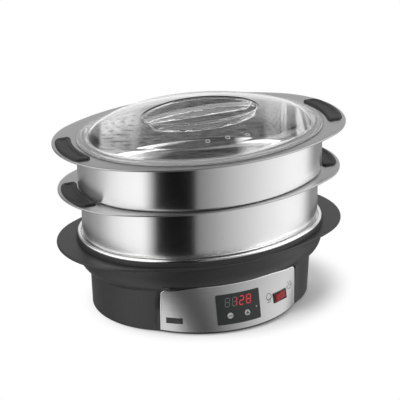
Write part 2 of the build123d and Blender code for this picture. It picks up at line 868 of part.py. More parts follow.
def steam_bowl(length, width, seat_length, seat_width, seat, rim):
    # Drawn bowl: an upright wall, a shoulder that stands on the seat and a spigot that drops into it
    top = rim - flange_sheet
    low = seat - spigot_depth
    wall = oval_block(length, width, 0.0, seat, top, bowl_corner)
    spigot = oval_block(seat_length, seat_width, -spigot_gap, low, seat + bowl_corner)
    lip = oval_block(length, width, bowl_lip, top - sheet, top)
    hollow = oval_block(length, width, -sheet, seat + sheet, top, bowl_corner - sheet)
    well = oval_block(seat_length, seat_width, -spigot_gap - sheet, low + sheet, top)
    drain = oval_block(seat_length, seat_width, -spigot_gap - floor_ledge, low, top)
    with BuildPart() as bowl:
        add(wall)
        add(spigot)
        add(lip)
        add(hollow, mode=Mode.SUBTRACT)
        add(well, mode=Mode.SUBTRACT)
        add(drain, mode=Mode.SUBTRACT)
        chamfer(bowl.edges().group_by(Axis.Z)[0].group_by(SortBy.LENGTH)[-1], length=sheet / 2)
    return bowl.part


def tray_floor(seat_length, seat_width, seat):
    # Perforated sheet lying on the ledge inside the bowl's spigot
    edge = spigot_gap + sheet + floor_gap
    half_length = seat_length / 2 - edge - floor_hole_margin
    half_width = seat_width / 2 - edge - floor_hole_margin
    columns = 2 * int(half_length / floor_hole_pitch) + 1
    rows = 2 * int(half_width / floor_hole_pitch) + 1
    grid = [place.position for place in GridLocations(floor_hole_pitch, floor_hole_pitch, columns, rows)]
    holes = [place for place in grid if hypot(place.X / half_length, place.Y / half_width) < 1]
    with BuildPart() as floor:
        with BuildSketch(Plane.XY.offset(seat - spigot_depth + sheet)):
            oval(seat_length, seat_width, -edge)
            with Locations(holes):
                RegularPolygon(floor_hole_radius, floor_hole_sides, mode=Mode.SUBTRACT)
        extrude(amount=floor_thickness)
    return floor.part


def grip_middle(length):
    # Distance from the middle of the tray to the middle of a grip pad
    return length / 2 - grip_edge - grip_width / 2


def tray_flange(length, width, mouth_length, mouth_width, rim):
    # Flat satin ring with a rolled outer edge, open over the bowl and holed for the pegs of the pads
    with BuildPart() as ring:
        with BuildSketch(Plane.XY.offset(rim)):
            oval(length, width)
        extrude(amount=-flange_bead_height)
        fillet(ring.edges().filter_by(Plane.XY), radius=flange_bead_round)
        with BuildSketch(Plane.XY.offset(rim - flange_bead_height)):
            oval(length, width, -flange_bead_width)
        extrude(amount=flange_bead_height - flange_sheet, mode=Mode.SUBTRACT)
        with BuildSketch(Plane.XY.offset(rim)):
            oval(mouth_length, mouth_width)
            with GridLocations(2 * grip_middle(length), grip_peg_spacing, 2, 2):
                Circle(grip_peg_radius)
        extrude(amount=-flange_bead_height, mode=Mode.SUBTRACT)
    return ring.part


def grip_pad(length, width, mouth_length, mouth_width, rim, side):
    # Crescent pad between the flange's edge and the mouth, with two pegs through the flange
    inner = length / 2 - grip_edge - grip_width - mouth_length / 2
    with BuildPart() as pad:
        with BuildSketch(Plane.XY.offset(rim)):
            oval(length, width, -grip_edge)
            oval(mouth_length, mouth_width, inner, mode=Mode.SUBTRACT)
            with Locations((side * length / 2, 0)):
                Rectangle(length, grip_span, mode=Mode.INTERSECT)
        extrude(amount=grip_height)
        ends = pad.edges().filter_by(Axis.Z).filter_by(lambda edge: abs(edge.center().Y) > grip_span / 4)
        fillet(ends, radius=grip_corner)
        fillet(pad.edges().group_by(Axis.Z)[-1], radius=grip_round)
        with BuildSketch(Plane.XY.offset(rim)):
            with Locations((side * grip_middle(length), 0)):
                with GridLocations(0, grip_peg_spacing, 1, 2):
                    Circle(grip_peg_radius)
        extrude(amount=-grip_peg_length)
    return pad.part


# The two trays: the lower one stands on the tank's seat, the upper one on the lower tray's flange
trays = [
    (
        "lower",
        (lower_bowl_length, lower_bowl_width),
        (lower_flange_length, lower_flange_width),
        (lower_mouth_length, lower_mouth_width),
        (tank_length, tank_width),
        tank_seat,
        lower_rim,
    ),
    (
        "upper",
        (upper_bowl_length, upper_bowl_width),
        (upper_flange_length, upper_flange_width),
        (upper_mouth_length, upper_mouth_width),
        (lower_mouth_length, lower_mouth_width),
        lower_rim,
        upper_rim,
    ),
]
for name, bowl, flange, mouth, below, seat, rim in trays:
    pieces = {
        f"{name}_bowl": steam_bowl(*bowl, *below, seat, rim),
        f"{name}_floor": tray_floor(*below, seat),
        f"{name}_flange": tray_flange(*flange, *mouth, rim),
        f"{name}_left_grip": grip_pad(*flange, *mouth, rim, -1),
        f"{name}_right_grip": grip_pad(*flange, *mouth, rim, 1),
    }
    for label, piece in pieces.items():
        piece.label = label
        export_step(piece, f"parts/{label}.step")


def crown(grow):
    # Barrel that lies along the lid: its long side bows gently and its girth bows more
    axis_height = lid_top - crown_width_radius
    half = lid_length / 2
    end_girth = crown_width_radius - crown_length_radius + sqrt((crown_length_radius + grow) ** 2 - half**2)
    with BuildPart() as barrel:
        with BuildSketch(Plane.XY.offset(axis_height)):
            with BuildLine() as profile:
                ThreePointArc((-half, end_girth), (0, crown_width_radius + grow), (half, end_girth))
                Polyline((half, end_girth), (half, 0), (-half, 0), (-half, end_girth))
            make_face(profile.edges())
        revolve(axis=Axis((0, 0, axis_height), (1, 0, 0)))
    return barrel.part


def dome(grow):
    # Oval cap with a generous round from its crown into its wall, cut off level with the rim
    low = upper_rim - dome_round
    with BuildPart() as cap:
        with BuildSketch(Plane.XY.offset(low)):
            oval(dome_length, dome_width, grow)
        extrude(amount=lid_top + grow - low)
        add(crown(grow), mode=Mode.INTERSECT)
        fillet(cap.faces().sort_by(Axis.Z)[-1].edges(), radius=dome_round + grow)
        split(bisect_by=Plane.XY.offset(upper_rim))
    return cap.part


# Lid: stepped rim on the flange, spigot into the tray's mouth, dome with a gripping recess
lid_top = upper_rim + dome_rise
dome_length = lid_length - 2 * dome_inset
dome_width = lid_width - 2 * dome_inset
dome_outside = dome(0.0)
dome_inside = dome(-lid_sheet)
recess_floor = lid_top - recess_depth
with BuildPart() as dome_hollow:
    add(dome_inside)
    add(
        oval_block(
            recess_length,
            recess_width,
            lid_sheet,
            recess_floor - lid_sheet,
            lid_top,
            recess_round + lid_sheet,
        ),
        mode=Mode.SUBTRACT,
    )

with BuildPart() as recess_wells:
    with BuildSketch(Plane.XY.offset(recess_floor)):
        oval(recess_length, recess_width)
        Rectangle(recess_length, grip_bar_width, mode=Mode.SUBTRACT)
    extrude(amount=recess_depth + lid_sheet)
    fillet(recess_wells.edges().group_by(Axis.Z)[0], radius=recess_round)

spigot_low = upper_rim - lid_spigot_depth
with BuildPart() as lid:
    add(oval_block(lid_length, lid_width, 0.0, upper_rim, upper_rim + lid_sheet))
    add(
        oval_block(
            lid_length, lid_width, -lid_step_inset, upper_rim, upper_rim + lid_sheet + lid_step_height
        )
    )
    add(oval_block(upper_mouth_length, upper_mouth_width, -lid_spigot_gap, spigot_low, upper_rim))
    add(dome_outside)
    add(
        oval_block(
            upper_mouth_length,
            upper_mouth_width,
            -lid_spigot_gap - lid_spigot_wall,
            spigot_low,
            upper_rim + lid_step_height,
        ),
        mode=Mode.SUBTRACT,
    )
    add(dome_hollow.part, mode=Mode.SUBTRACT)
    add(recess_wells.part, mode=Mode.SUBTRACT)
    with BuildSketch(Plane.XY.offset(upper_rim)):
        with Locations((0, -vent_front)):
            with GridLocations(vent_spacing, 0, 3, 1):
                Circle(vent_radius)
    extrude(amount=dome_rise, mode=Mode.SUBTRACT)
lid.part.label = "lid"
export_step(lid.part, "parts/lid.step")
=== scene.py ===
import json

import bmesh
import bpy
import numpy as np
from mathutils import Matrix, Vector


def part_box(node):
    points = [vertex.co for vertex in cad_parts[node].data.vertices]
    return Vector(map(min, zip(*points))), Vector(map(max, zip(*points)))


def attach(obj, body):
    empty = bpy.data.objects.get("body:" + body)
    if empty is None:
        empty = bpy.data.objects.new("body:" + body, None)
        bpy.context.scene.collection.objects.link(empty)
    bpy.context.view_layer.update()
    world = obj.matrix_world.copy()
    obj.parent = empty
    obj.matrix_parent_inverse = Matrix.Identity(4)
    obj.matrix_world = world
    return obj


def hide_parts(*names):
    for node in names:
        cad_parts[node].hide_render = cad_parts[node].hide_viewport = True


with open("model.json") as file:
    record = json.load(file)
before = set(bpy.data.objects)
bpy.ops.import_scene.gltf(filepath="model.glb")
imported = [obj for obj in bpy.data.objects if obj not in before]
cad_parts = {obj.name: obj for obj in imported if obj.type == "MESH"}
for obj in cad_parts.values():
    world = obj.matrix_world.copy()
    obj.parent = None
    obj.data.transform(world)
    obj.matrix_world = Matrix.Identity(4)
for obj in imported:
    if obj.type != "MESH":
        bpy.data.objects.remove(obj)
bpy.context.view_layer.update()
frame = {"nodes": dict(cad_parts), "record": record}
nodes = frame["nodes"]
slotOf = {row["node"]: row["material_slot"] for row in frame["record"]["subparts"]}
mm = 0.001
weldReach = 0.002 * mm  # points nearer than this are one point
print("frame loaded:", len(nodes), "nodes")


# surfaces

def ease(t):
    # smooth step: 0 up to t = 0, 1 from t = 1 on, and t squared times (3 - 2 t) between
    t = np.clip(t, 0, 1)
    return t * t * (3 - 2 * t)


def fullTurn(count):
    # angles of evenly spaced points round a circle
    return np.linspace(0, 2 * np.pi, count, endpoint=False)


def ovalArcs(length, width):
    # four-centre oval: radius and centre of the end arcs, on x, and of the side arcs, on y
    halfDiagonal = np.hypot(length, width) / 2
    spread = halfDiagonal * (length - width) / 2
    endRadius = (halfDiagonal**2 - spread) / length
    sideRadius = (halfDiagonal**2 + spread) / width
    return endRadius, length / 2 - endRadius, sideRadius, sideRadius - width / 2


def ovalPoints(length, width, grow, turn):
    # at the angle turn, the point is its arc's centre plus (arc radius + grow) along the normal
    endRadius, endX, sideRadius, sideY = ovalArcs(length, width)
    alongX, alongY = np.cos(turn), np.sin(turn)
    onEnd = np.abs(alongX) > np.cos(np.arctan2(sideY, endX))
    radius = np.where(onEnd, endRadius, sideRadius) + grow
    x = np.where(onEnd, np.sign(alongX) * endX, 0) + radius * alongX
    y = np.where(onEnd, 0, -np.sign(alongY) * sideY) + radius * alongY
    return x, y


def ovalEndReach(length, width, grow, y):
    # distance of an oval's end arc from the middle, at a place y across it
    endRadius, endX = ovalArcs(length, width)[:2]
    return endX + np.sqrt((endRadius + grow)**2 - y**2)


def ovalRows(length, width, profile):
    # rows of an oval surface: each profile point is (grow, height) on the same oval
    return [(length, width, grow, height) for grow, height in profile]


def ovalGrid(rows, turn):
    # points of stacked ovals: a row for each (length, width, grow, height), a column for each angle
    length, width, grow, height = np.array(rows, float).T[:, :, None]
    x, y = ovalPoints(length, width, grow, turn)
    return np.stack([x, y, np.broadcast_to(height, x.shape)], -1)


def bentProfile(corners, steps=6):
    # polyline of (grow, height, radius) corners with each corner turned into an arc of that radius
    points = np.array([corner[:2] for corner in corners], float)
    bent = [tuple(points[0])]
    for number in range(1, len(points) - 1):
        point, radius = points[number], corners[number][2]
        if radius == 0:
            bent.append(tuple(point))
            continue
        before, after = points[number - 1] - point, points[number + 1] - point
        before, after = before / np.linalg.norm(before), after / np.linalg.norm(after)
        half = np.arccos(np.clip(before @ after, -1, 1)) / 2
        middle = point + (before + after) / np.linalg.norm(before + after) * radius / np.sin(half)
        start = point + before * radius / np.tan(half) - middle
        end = point + after * radius / np.tan(half) - middle
        sweep = np.linspace(0, 1, steps + 1)[:, None]
        span = np.pi - 2 * half
        arc = (np.sin((1 - sweep) * span) * start + np.sin(sweep * span) * end) / np.sin(span) + middle
        bent.extend(map(tuple, arc))
    bent.append(tuple(points[-1]))
    return bent


def gridFaces(rows, columns, loopRows, loopColumns):
    # quads between neighbouring rows and columns of a grid, wrapped round where asked
    row = np.arange(rows if loopRows else rows - 1)[:, None]
    column = np.arange(columns if loopColumns else columns - 1)[None, :]
    nextRow, nextColumn = (row + 1) % rows, (column + 1) % columns
    corners = (row * columns + column, nextRow * columns + column,
               nextRow * columns + nextColumn, row * columns + nextColumn)
    return np.stack(np.broadcast_arrays(*corners), -1).reshape(-1, 4)


def addObject(name, data):
    piece = bpy.data.objects.new(name, data)
    bpy.context.collection.objects.link(piece)
    return piece


def meshFrom(name, points, quads, extraFaces=(), smooth=True):
    # writes whole arrays of points and quads, and a list of other faces, into a new mesh object
    mesh = bpy.data.meshes.new(name)
    if len(extraFaces):
        faces = quads.tolist() + [list(face) for face in extraFaces]
        mesh.from_pydata(points.reshape(-1, 3).tolist(), [], faces)
    else:
        mesh.vertices.add(points.size // 3)
        mesh.vertices.foreach_set("co", points.astype(np.float32).ravel())
        mesh.loops.add(quads.size)
        mesh.loops.foreach_set("vertex_index", quads.astype(np.int32).ravel())
        mesh.polygons.add(len(quads))
        mesh.polygons.foreach_set("loop_start", np.arange(0, quads.size, 4, dtype=np.int32))
        mesh.update(calc_edges=True)
    mesh.polygons.foreach_set("use_smooth", np.full(len(mesh.polygons), smooth))
    mesh.validate()
    return addObject(name, mesh)


def weld(piece, reach=weldReach, turnFaces=False):
    # joins points that coincide, which closes seams and poles and drops faces that have no area,
    # and turns all faces the same way where asked
    shell = bmesh.new()
    shell.from_mesh(piece.data)
    bmesh.ops.remove_doubles(shell, verts=shell.verts, dist=reach)
    if turnFaces:
        bmesh.ops.recalc_face_normals(shell, faces=shell.faces)
    shell.to_mesh(piece.data)
    shell.free()
    return piece


def creaseByAngle(piece, degrees=50):
    # edges where the surface bends more than this stay sharp in the smooth shading
    piece.data.set_sharp_from_angle(angle=np.radians(degrees))
    return piece


def ringSurface(name, rows, loop=False, capped=False, turns=288):
    # stacked ovals joined into a surface; rows run out over the top, down the outside and in underneath
    quads = gridFaces(len(rows), turns, loop, True)
    caps = []
    if capped:
        caps = [np.arange(turns), np.arange(turns)[::-1] + (len(rows) - 1) * turns]
    return meshFrom(name, ovalGrid(rows, fullTurn(turns)[None, :]), quads, caps)


def place(piece, body, node=None, finish=None, material=None):
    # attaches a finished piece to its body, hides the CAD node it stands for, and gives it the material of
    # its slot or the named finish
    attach(piece, body)
    if node:
        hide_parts(node)
    slotName = finish or slotOf[node]
    piece.data.materials.clear()
    piece.data.materials.append(material or finishes[slotName])


def camelName(name):
    first, *others = name.split("_")
    return first + "".join(word.title() for word in others)


# finishes

def grey(tone):
    return (tone, tone, tone, 1)


def addNode(tree, kind, inputs=(), **settings):
    # new shader node: an input gets a link if its value is a socket, or else the value itself
    node = tree.nodes.new("ShaderNode" + kind)
    for setting, value in settings.items():
        setattr(node, setting, value)
    for socket, value in dict(inputs).items():
        if isinstance(value, bpy.types.NodeSocket):
            tree.links.new(value, node.inputs[socket])
        else:
            node.inputs[socket].default_value = value
    return node


def addGrain(tree, stretch, detail=2, bumpDepth=0.0, roughRange=None, toneRange=None):
    # stretched noise on object coordinates, which lifts the surface and varies gloss and tone a little
    shader = tree.nodes["Principled BSDF"].inputs
    where = addNode(tree, "TexCoord").outputs["Object"]
    mapped = addNode(tree, "Mapping", {"Vector": where, "Scale": stretch}).outputs["Vector"]
    noise = addNode(tree, "TexNoise", {"Vector": mapped, "Scale": 1.0, "Detail": detail}).outputs["Fac"]
    if bumpDepth:
        bump = addNode(tree, "Bump", {"Strength": 1.0, "Distance": bumpDepth, "Height": noise})
        tree.links.new(bump.outputs["Normal"], shader["Normal"])
    if roughRange:
        spread = addNode(tree, "MapRange", {"Value": noise, "To Min": roughRange[0], "To Max": roughRange[1]})
        tree.links.new(spread.outputs["Result"], shader["Roughness"])
    if toneRange:
        ramp = addNode(tree, "ValToRGB", {"Fac": noise})
        for mark, tone in zip(ramp.color_ramp.elements, toneRange):
            mark.color = (*tone, 1)
        tree.links.new(ramp.outputs["Color"], shader["Base Color"])


def newFinish(name, colour, roughness, metallic=0.0, sockets=None, stretch=None, **grain):
    material = bpy.data.materials.new(name)
    material.use_nodes = True
    shader = material.node_tree.nodes["Principled BSDF"].inputs
    values = {"Base Color": (*colour, 1), "Roughness": roughness, "Metallic": metallic, **(sockets or {})}
    for socket, value in values.items():
        shader[socket].default_value = value
    if stretch:
        addGrain(material.node_tree, stretch, **grain)
    return material


clearCoat = {"IOR": 1.12, "Coat Weight": 1.0, "Coat IOR": 1.5, "Coat Roughness": 0.03}
looks = {
    "charcoal_plastic": dict(
        colour=(0.022, 0.022, 0.023), roughness=0.36, stretch=(1400, 1400, 1400), bumpDepth=0.02 * mm,
        roughRange=(0.32, 0.41), toneRange=((0.019, 0.019, 0.02), (0.025, 0.025, 0.026))),
    "brushed_fascia": dict(
        colour=(0.66, 0.66, 0.66), roughness=0.34, metallic=1.0, stretch=(18, 18, 2600), detail=3,
        bumpDepth=0.012 * mm, roughRange=(0.28, 0.42), toneRange=((0.60, 0.60, 0.605), (0.72, 0.72, 0.72))),
    "dark_window": dict(
        colour=(0.02, 0.024, 0.023), roughness=0.16, stretch=(60, 60, 60), detail=1, roughRange=(0.13, 0.2),
        toneRange=((0.017, 0.021, 0.02), (0.024, 0.028, 0.027))),
    "digit_block": dict(
        colour=(0.03, 0.02, 0.02), roughness=0.5, stretch=(300, 300, 300), detail=1, roughRange=(0.4, 0.6)),
    "circuit_board": dict(
        colour=(0.03, 0.14, 0.06), roughness=0.4, stretch=(200, 200, 200), roughRange=(0.3, 0.5)),
    "zinc_steel": dict(
        colour=(0.6, 0.6, 0.57), roughness=0.35, metallic=1.0, stretch=(300, 300, 300),
        roughRange=(0.25, 0.45)),
    "black_plastic": dict(
        colour=(0.02, 0.02, 0.02), roughness=0.35, stretch=(500, 500, 500), roughRange=(0.28, 0.42)),
    "thermostat_shell": dict(
        colour=(0.6, 0.6, 0.6), roughness=0.4, metallic=1.0, stretch=(200, 200, 200), roughRange=(0.3, 0.5)),
    "transformer_core": dict(
        colour=(0.1, 0.09, 0.08), roughness=0.5, stretch=(30, 30, 900), roughRange=(0.4, 0.6)),
    "red_rocker": dict(
        colour=(0.36, 0.014, 0.011), roughness=0.28, sockets={"Specular IOR Level": 0.35},
        stretch=(150, 150, 150), roughRange=(0.22, 0.34),
        toneRange=((0.18, 0.007, 0.007), (0.54, 0.022, 0.018))),
    "grey_button": dict(
        colour=(0.42, 0.43, 0.43), roughness=0.38, stretch=(400, 400, 400), roughRange=(0.32, 0.45)),
    "polished_steel": dict(
        colour=(0.9, 0.9, 0.895), roughness=0.21, metallic=1.0,
        sockets={"Anisotropic": 1.0, "Anisotropic Rotation": 0.25}, stretch=(9, 9, 2200), detail=3,
        bumpDepth=0.002 * mm, roughRange=(0.18, 0.24), toneRange=((0.86, 0.86, 0.855), (0.94, 0.94, 0.935))),
    "perforated_steel": dict(
        colour=(0.7, 0.7, 0.695), roughness=0.12, metallic=1.0, stretch=(25, 1500, 25), detail=3,
        bumpDepth=0.003 * mm, roughRange=(0.09, 0.16), toneRange=((0.65, 0.65, 0.645), (0.76, 0.76, 0.755))),
    "satin_flange": dict(
        colour=(0.47, 0.47, 0.47), roughness=0.3, metallic=1.0, stretch=(700, 700, 700), detail=3,
        bumpDepth=0.01 * mm, roughRange=(0.26, 0.35), toneRange=((0.43, 0.43, 0.43), (0.52, 0.52, 0.515))),
    "heater_aluminium": dict(
        colour=(0.55, 0.55, 0.55), roughness=0.5, metallic=1.0, stretch=(300, 300, 300), detail=3,
        bumpDepth=0.05 * mm, roughRange=(0.4, 0.6)),
    "element_sheath": dict(
        colour=(0.3, 0.29, 0.28), roughness=0.45, metallic=1.0, stretch=(300, 300, 300), detail=3,
        roughRange=(0.35, 0.55)),
    "gland_rubber": dict(
        colour=(0.02, 0.02, 0.02), roughness=0.6, stretch=(600, 600, 600), bumpDepth=0.03 * mm,
        roughRange=(0.5, 0.7)),
    "grip_rubber": dict(
        colour=(0.017, 0.017, 0.018), roughness=0.5, stretch=(900, 900, 900), bumpDepth=0.03 * mm,
        roughRange=(0.44, 0.58), toneRange=((0.014, 0.014, 0.015), (0.02, 0.02, 0.021))),
    "foot_rubber": dict(
        colour=(0.03, 0.03, 0.03), roughness=0.7, stretch=(600, 600, 600), bumpDepth=0.03 * mm,
        roughRange=(0.6, 0.8)),
    "clear_lid": dict(
        colour=(0.985, 0.99, 0.988), roughness=0.01, sockets={"Transmission Weight": 1.0, **clearCoat}),
}
finishes = {slotName: newFinish(camelName(slotName), **look) for slotName, look in looks.items()}

# finishes of marks and of parts of a piece
litRed = newFinish("litRed", (0.5, 0.02, 0.03), 0.4,
                   sockets={"Emission Color": (1.0, 0.04, 0.07, 1), "Emission Strength": 0.32})
dimSegment = newFinish("dimSegment", (0.10, 0.115, 0.115), 0.35)
printedGrey = newFinish("printedGrey", (0.17, 0.17, 0.175), 0.5)
paleDot = newFinish("paleDot", (0.6, 0.6, 0.58), 0.3)
plainPlate = newFinish("plainPlate", (0.025, 0.025, 0.026), 0.3)
brightInside = newFinish("brightInside", (0.9, 0.9, 0.895), 0.06, 1.0, stretch=(40, 40, 600), detail=3,
                         bumpDepth=0.002 * mm, roughRange=(0.04, 0.08),
                         toneRange=((0.87, 0.87, 0.865), (0.93, 0.93, 0.925)))
hazyRim = newFinish("hazyRim", (0.93, 0.94, 0.935), 0.04, sockets={"Transmission Weight": 0.84, **clearCoat})
frostedRing = newFinish("frostedRing", (0.8, 0.82, 0.82), 0.25,
                        sockets={"Transmission Weight": 0.6, "IOR": 1.45})

for name, node in nodes.items():
    node.data.materials.clear()
    node.data.materials.append(finishes[slotOf[name]])
print("finishes made:", len(finishes))


# trays: bowl, flange, perforated floor and grip pads

mouth = {"upper": (323 * mm, 230 * mm), "lower": (313 * mm, 219 * mm), "tank": (304 * mm, 211 * mm)}
standsOn = {"upper": "lower", "lower": "tank"}
tray = {"sheet": 0.8 * mm, "lip": 2.5 * mm, "corner": 5 * mm, "seatReach": 11 * mm, "spigotGap": 1.5 * mm,
        "spigotDepth": 8 * mm, "ledge": 6 * mm, "flangeSheet": 1.2 * mm,
        "flangeBorder": 8 * mm, "beadWidth": 3.5 * mm, "beadRound": 1.0 * mm, "flangeCrease": 40}


def makeBowl(tier):
    # down the outside, in to the spigot, round its ledge and up the inside, whose faces are brighter
    low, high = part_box(f"{tier}_bowl")
    lip, sheet, corner, gap = (tray[key] for key in ("lip", "sheet", "corner", "spigotGap"))
    length, width = high.x - low.x - 2 * lip, high.y - low.y - 2 * lip
    top, bottom = high.z, low.z
    seat, ledge = bottom + tray["spigotDepth"], gap + tray["ledge"]
    outside = bentProfile([(lip, top, 0), (lip, top - sheet, 0), (0, top - sheet, sheet),
                           (0, seat, corner), (-tray["seatReach"], seat, 0)])
    spigot = bentProfile([(-gap, seat, 0), (-gap, bottom, sheet), (-ledge, bottom, 0),
                          (-ledge, bottom + sheet, 0), (-gap - sheet, bottom + sheet, sheet / 2),
                          (-gap - sheet, seat + sheet, 0)])
    inside = bentProfile([(-tray["seatReach"], seat + sheet, 0), (-sheet, seat + sheet, corner - sheet),
                          (-sheet, top, 0)])
    rows = (ovalRows(length, width, outside[:-1]) + ovalRows(*mouth[standsOn[tier]], spigot)
            + ovalRows(length, width, inside[1:]))
    bowl = creaseByAngle(ringSurface(f"{tier}Bowl", rows, loop=True))
    place(bowl, f"{tier}_tray", f"{tier}_bowl")
    bowl.data.materials.append(brightInside)
    faces = len(bowl.data.polygons)
    row = np.arange(faces) // (faces // len(rows))
    bowl.data.polygons.foreach_set("material_index", (row > len(rows) - len(inside)).astype(np.int32))


def makeFlange(tier):
    # out from the mouth over the sheet, round the rolled edge and back in underneath
    low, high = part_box(f"{tier}_flange")
    rim, under = high.z, low.z
    sheetLow = rim - tray["flangeSheet"]
    border, bead, roundOff = tray["flangeBorder"], tray["beadWidth"], tray["beadRound"]
    edge = bentProfile([(-border, rim, 0), (0, rim, roundOff), (0, under, roundOff), (-bead, under, 0),
                        (-bead, sheetLow, 0), (-border, sheetLow, 0)], steps=8)
    rows = [(*mouth[tier], 0, sheetLow), (*mouth[tier], 0, rim)]
    rows += ovalRows(high.x - low.x, high.y - low.y, edge)
    flange = creaseByAngle(ringSurface(f"{tier}Flange", rows, loop=True), tray["flangeCrease"])
    place(flange, f"{tier}_tray", f"{tier}_flange")


perforation = {"pitch": 12 * mm, "radius": 2.6 * mm, "margin": 9 * mm, "field": 0.97, "sides": 12,
               "crease": 30}


def makeFloor(tier):
    # square cells over the floor: a holed cell is a ring from its border to its hole, a plain cell is a fan,
    # and points past the floor's oval edge are drawn in to it
    low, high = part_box(f"{tier}_floor")
    half = np.array([high.x, high.y])
    pitch, sides = perforation["pitch"], perforation["sides"]
    countX, countY = np.ceil(half / pitch).astype(int)
    column, row = np.meshgrid(np.arange(-countX, countX + 1), np.arange(-countY, countY + 1), indexing="ij")
    centres = np.stack([column.ravel(), row.ravel()], -1) * pitch
    centres = centres[np.hypot(*(np.maximum(np.abs(centres) - pitch / 2, 0) / half).T) < 1]
    holed = np.hypot(*(centres / (half - perforation["margin"])).T) < perforation["field"]
    turn = 2 * np.pi * (np.arange(sides) + 0.5) / sides
    ray = np.stack([np.cos(turn), np.sin(turn)], -1)
    cellBorder = ray / np.abs(ray).max(1, keepdims=True) * pitch / 2
    hole = ray * perforation["radius"] * holed[:, None, None]
    cells = centres[:, None, None, :] + np.stack(np.broadcast_arrays(cellBorder[None], hole), 1)
    outwards = np.hypot(*(np.moveaxis(cells, -1, 0) / half[:, None, None, None]))
    cells = cells / np.maximum(outwards, 1)[..., None]
    top = np.concatenate([cells, np.full((*cells.shape[:-1], 1), high.z)], -1)
    bottom = np.concatenate([cells[:, ::-1], np.full((*cells.shape[:-1], 1), low.z)], -1)
    points = np.concatenate([top, bottom], 1)
    # walls stand in the holes and on the border edges that only one cell has
    spots = np.round(cells[:, 0].reshape(-1, 2) / weldReach)
    corner = np.unique(spots, axis=0, return_inverse=True)[1].reshape(-1, sides)
    edges = np.sort(np.stack([corner, np.roll(corner, -1, 1)], -1), -1).reshape(-1, 2)
    which, shared = np.unique(edges, axis=0, return_inverse=True, return_counts=True)[1:]
    alone = (shared[which.ravel()] == 1).reshape(-1, sides)
    everywhere = np.ones_like(alone)
    wanted = np.stack([everywhere, everywhere * holed[:, None], everywhere, alone], 1)
    rings = points.shape[1]
    ringFaces = gridFaces(rings, sides, True, True)[:, ::-1].reshape(1, rings, sides, 4)
    quads = (ringFaces + rings * sides * np.arange(len(points))[:, None, None, None])[wanted]
    floor = creaseByAngle(weld(meshFrom(f"{tier}Floor", points, quads)), perforation["crease"])
    place(floor, f"{tier}_tray", f"{tier}_floor")
    print(tier, "floor:", int(holed.sum()), "holes")


grip = {"edge": 4.2 * mm, "width": 22.5 * mm, "span": 80 * mm, "corner": 8 * mm, "height": 2.8 * mm,
        "bevel": 2.6 * mm, "border": 3.2 * mm, "dish": 0.7 * mm, "dishEase": 1.5 * mm, "grooves": 5,
        "grooveDepth": 0.35 * mm, "rows": 97, "columns": 65, "crease": 60}


def makeGrip(tier, side):
    # pad on a grid of (along, across): it keeps between two oval arcs, its ends are rounded, and its height
    # rises over a bevel to a border round a dished field with lengthwise grooves
    low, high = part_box(f"{tier}_flange")
    length, width, rim = high.x - low.x, high.y - low.y, high.z
    innerGrow = length / 2 - grip["edge"] - grip["width"] - mouth[tier][0] / 2
    halfSpan, corner = grip["span"] / 2, grip["corner"]
    along = np.sin(np.linspace(-np.pi / 2, np.pi / 2, grip["rows"]))[:, None] * halfSpan
    across = np.sin(np.linspace(-np.pi / 2, np.pi / 2, grip["columns"]))[None, :]
    outer = ovalEndReach(length, width, -grip["edge"], along)
    inner = ovalEndReach(*mouth[tier], innerGrow, along)
    past = np.maximum(np.abs(along) - (halfSpan - corner), 0)
    narrow = corner - np.sqrt(np.maximum(corner**2 - past**2, 0))
    room = (outer - inner) / 2 - narrow
    x = (outer + inner) / 2 + across * room
    y = np.broadcast_to(along, x.shape)
    fromEdge = np.minimum((1 - np.abs(across)) * room, halfSpan - np.abs(y))
    rise = np.clip(fromEdge / grip["bevel"], 0, 1)
    inField = ease((fromEdge - grip["bevel"] - grip["border"]) / grip["dishEase"])
    groove = 0.5 - 0.5 * np.cos(2 * np.pi * grip["grooves"] * (across + 1) / 2)
    sunk = inField * (grip["dish"] + grip["grooveDepth"] * groove)
    height = grip["height"] * np.sqrt(1 - (1 - rise)**2) - sunk
    top = np.stack([side * x, y, rim + height], -1)
    flat = np.stack([side * x, y, np.full(x.shape, rim)], -1)
    points = np.concatenate([top, flat[:, ::-1]], 1)
    quads = gridFaces(*points.shape[:2], False, True)
    if side > 0:
        quads = quads[:, ::-1]
    where = "right" if side > 0 else "left"
    pad = creaseByAngle(weld(meshFrom(f"{tier}{where.title()}Grip", points, quads)), grip["crease"])
    place(pad, f"{tier}_tray", f"{tier}_{where}_grip")


for tier in ("lower", "upper"):
    makeBowl(tier)
    makeFlange(tier)
    makeFloor(tier)
    makeGrip(tier, -1)
    makeGrip(tier, 1)
print("trays made")


# water tank with its bright rolled rim, and the collar round it

tank = {"rimWall": 2.4 * mm, "bead": 5 * mm, "round": 2.2 * mm, "sheet": 1 * mm, "seatDrop": 3 * mm,
        "floor": 72 * mm, "floorReach": 60 * mm, "corner": 9 * mm}
tankLow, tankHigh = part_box("water_tank")
rimSize = tankHigh.x - tankLow.x, tankHigh.y - tankLow.y
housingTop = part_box("base_housing")[1].z


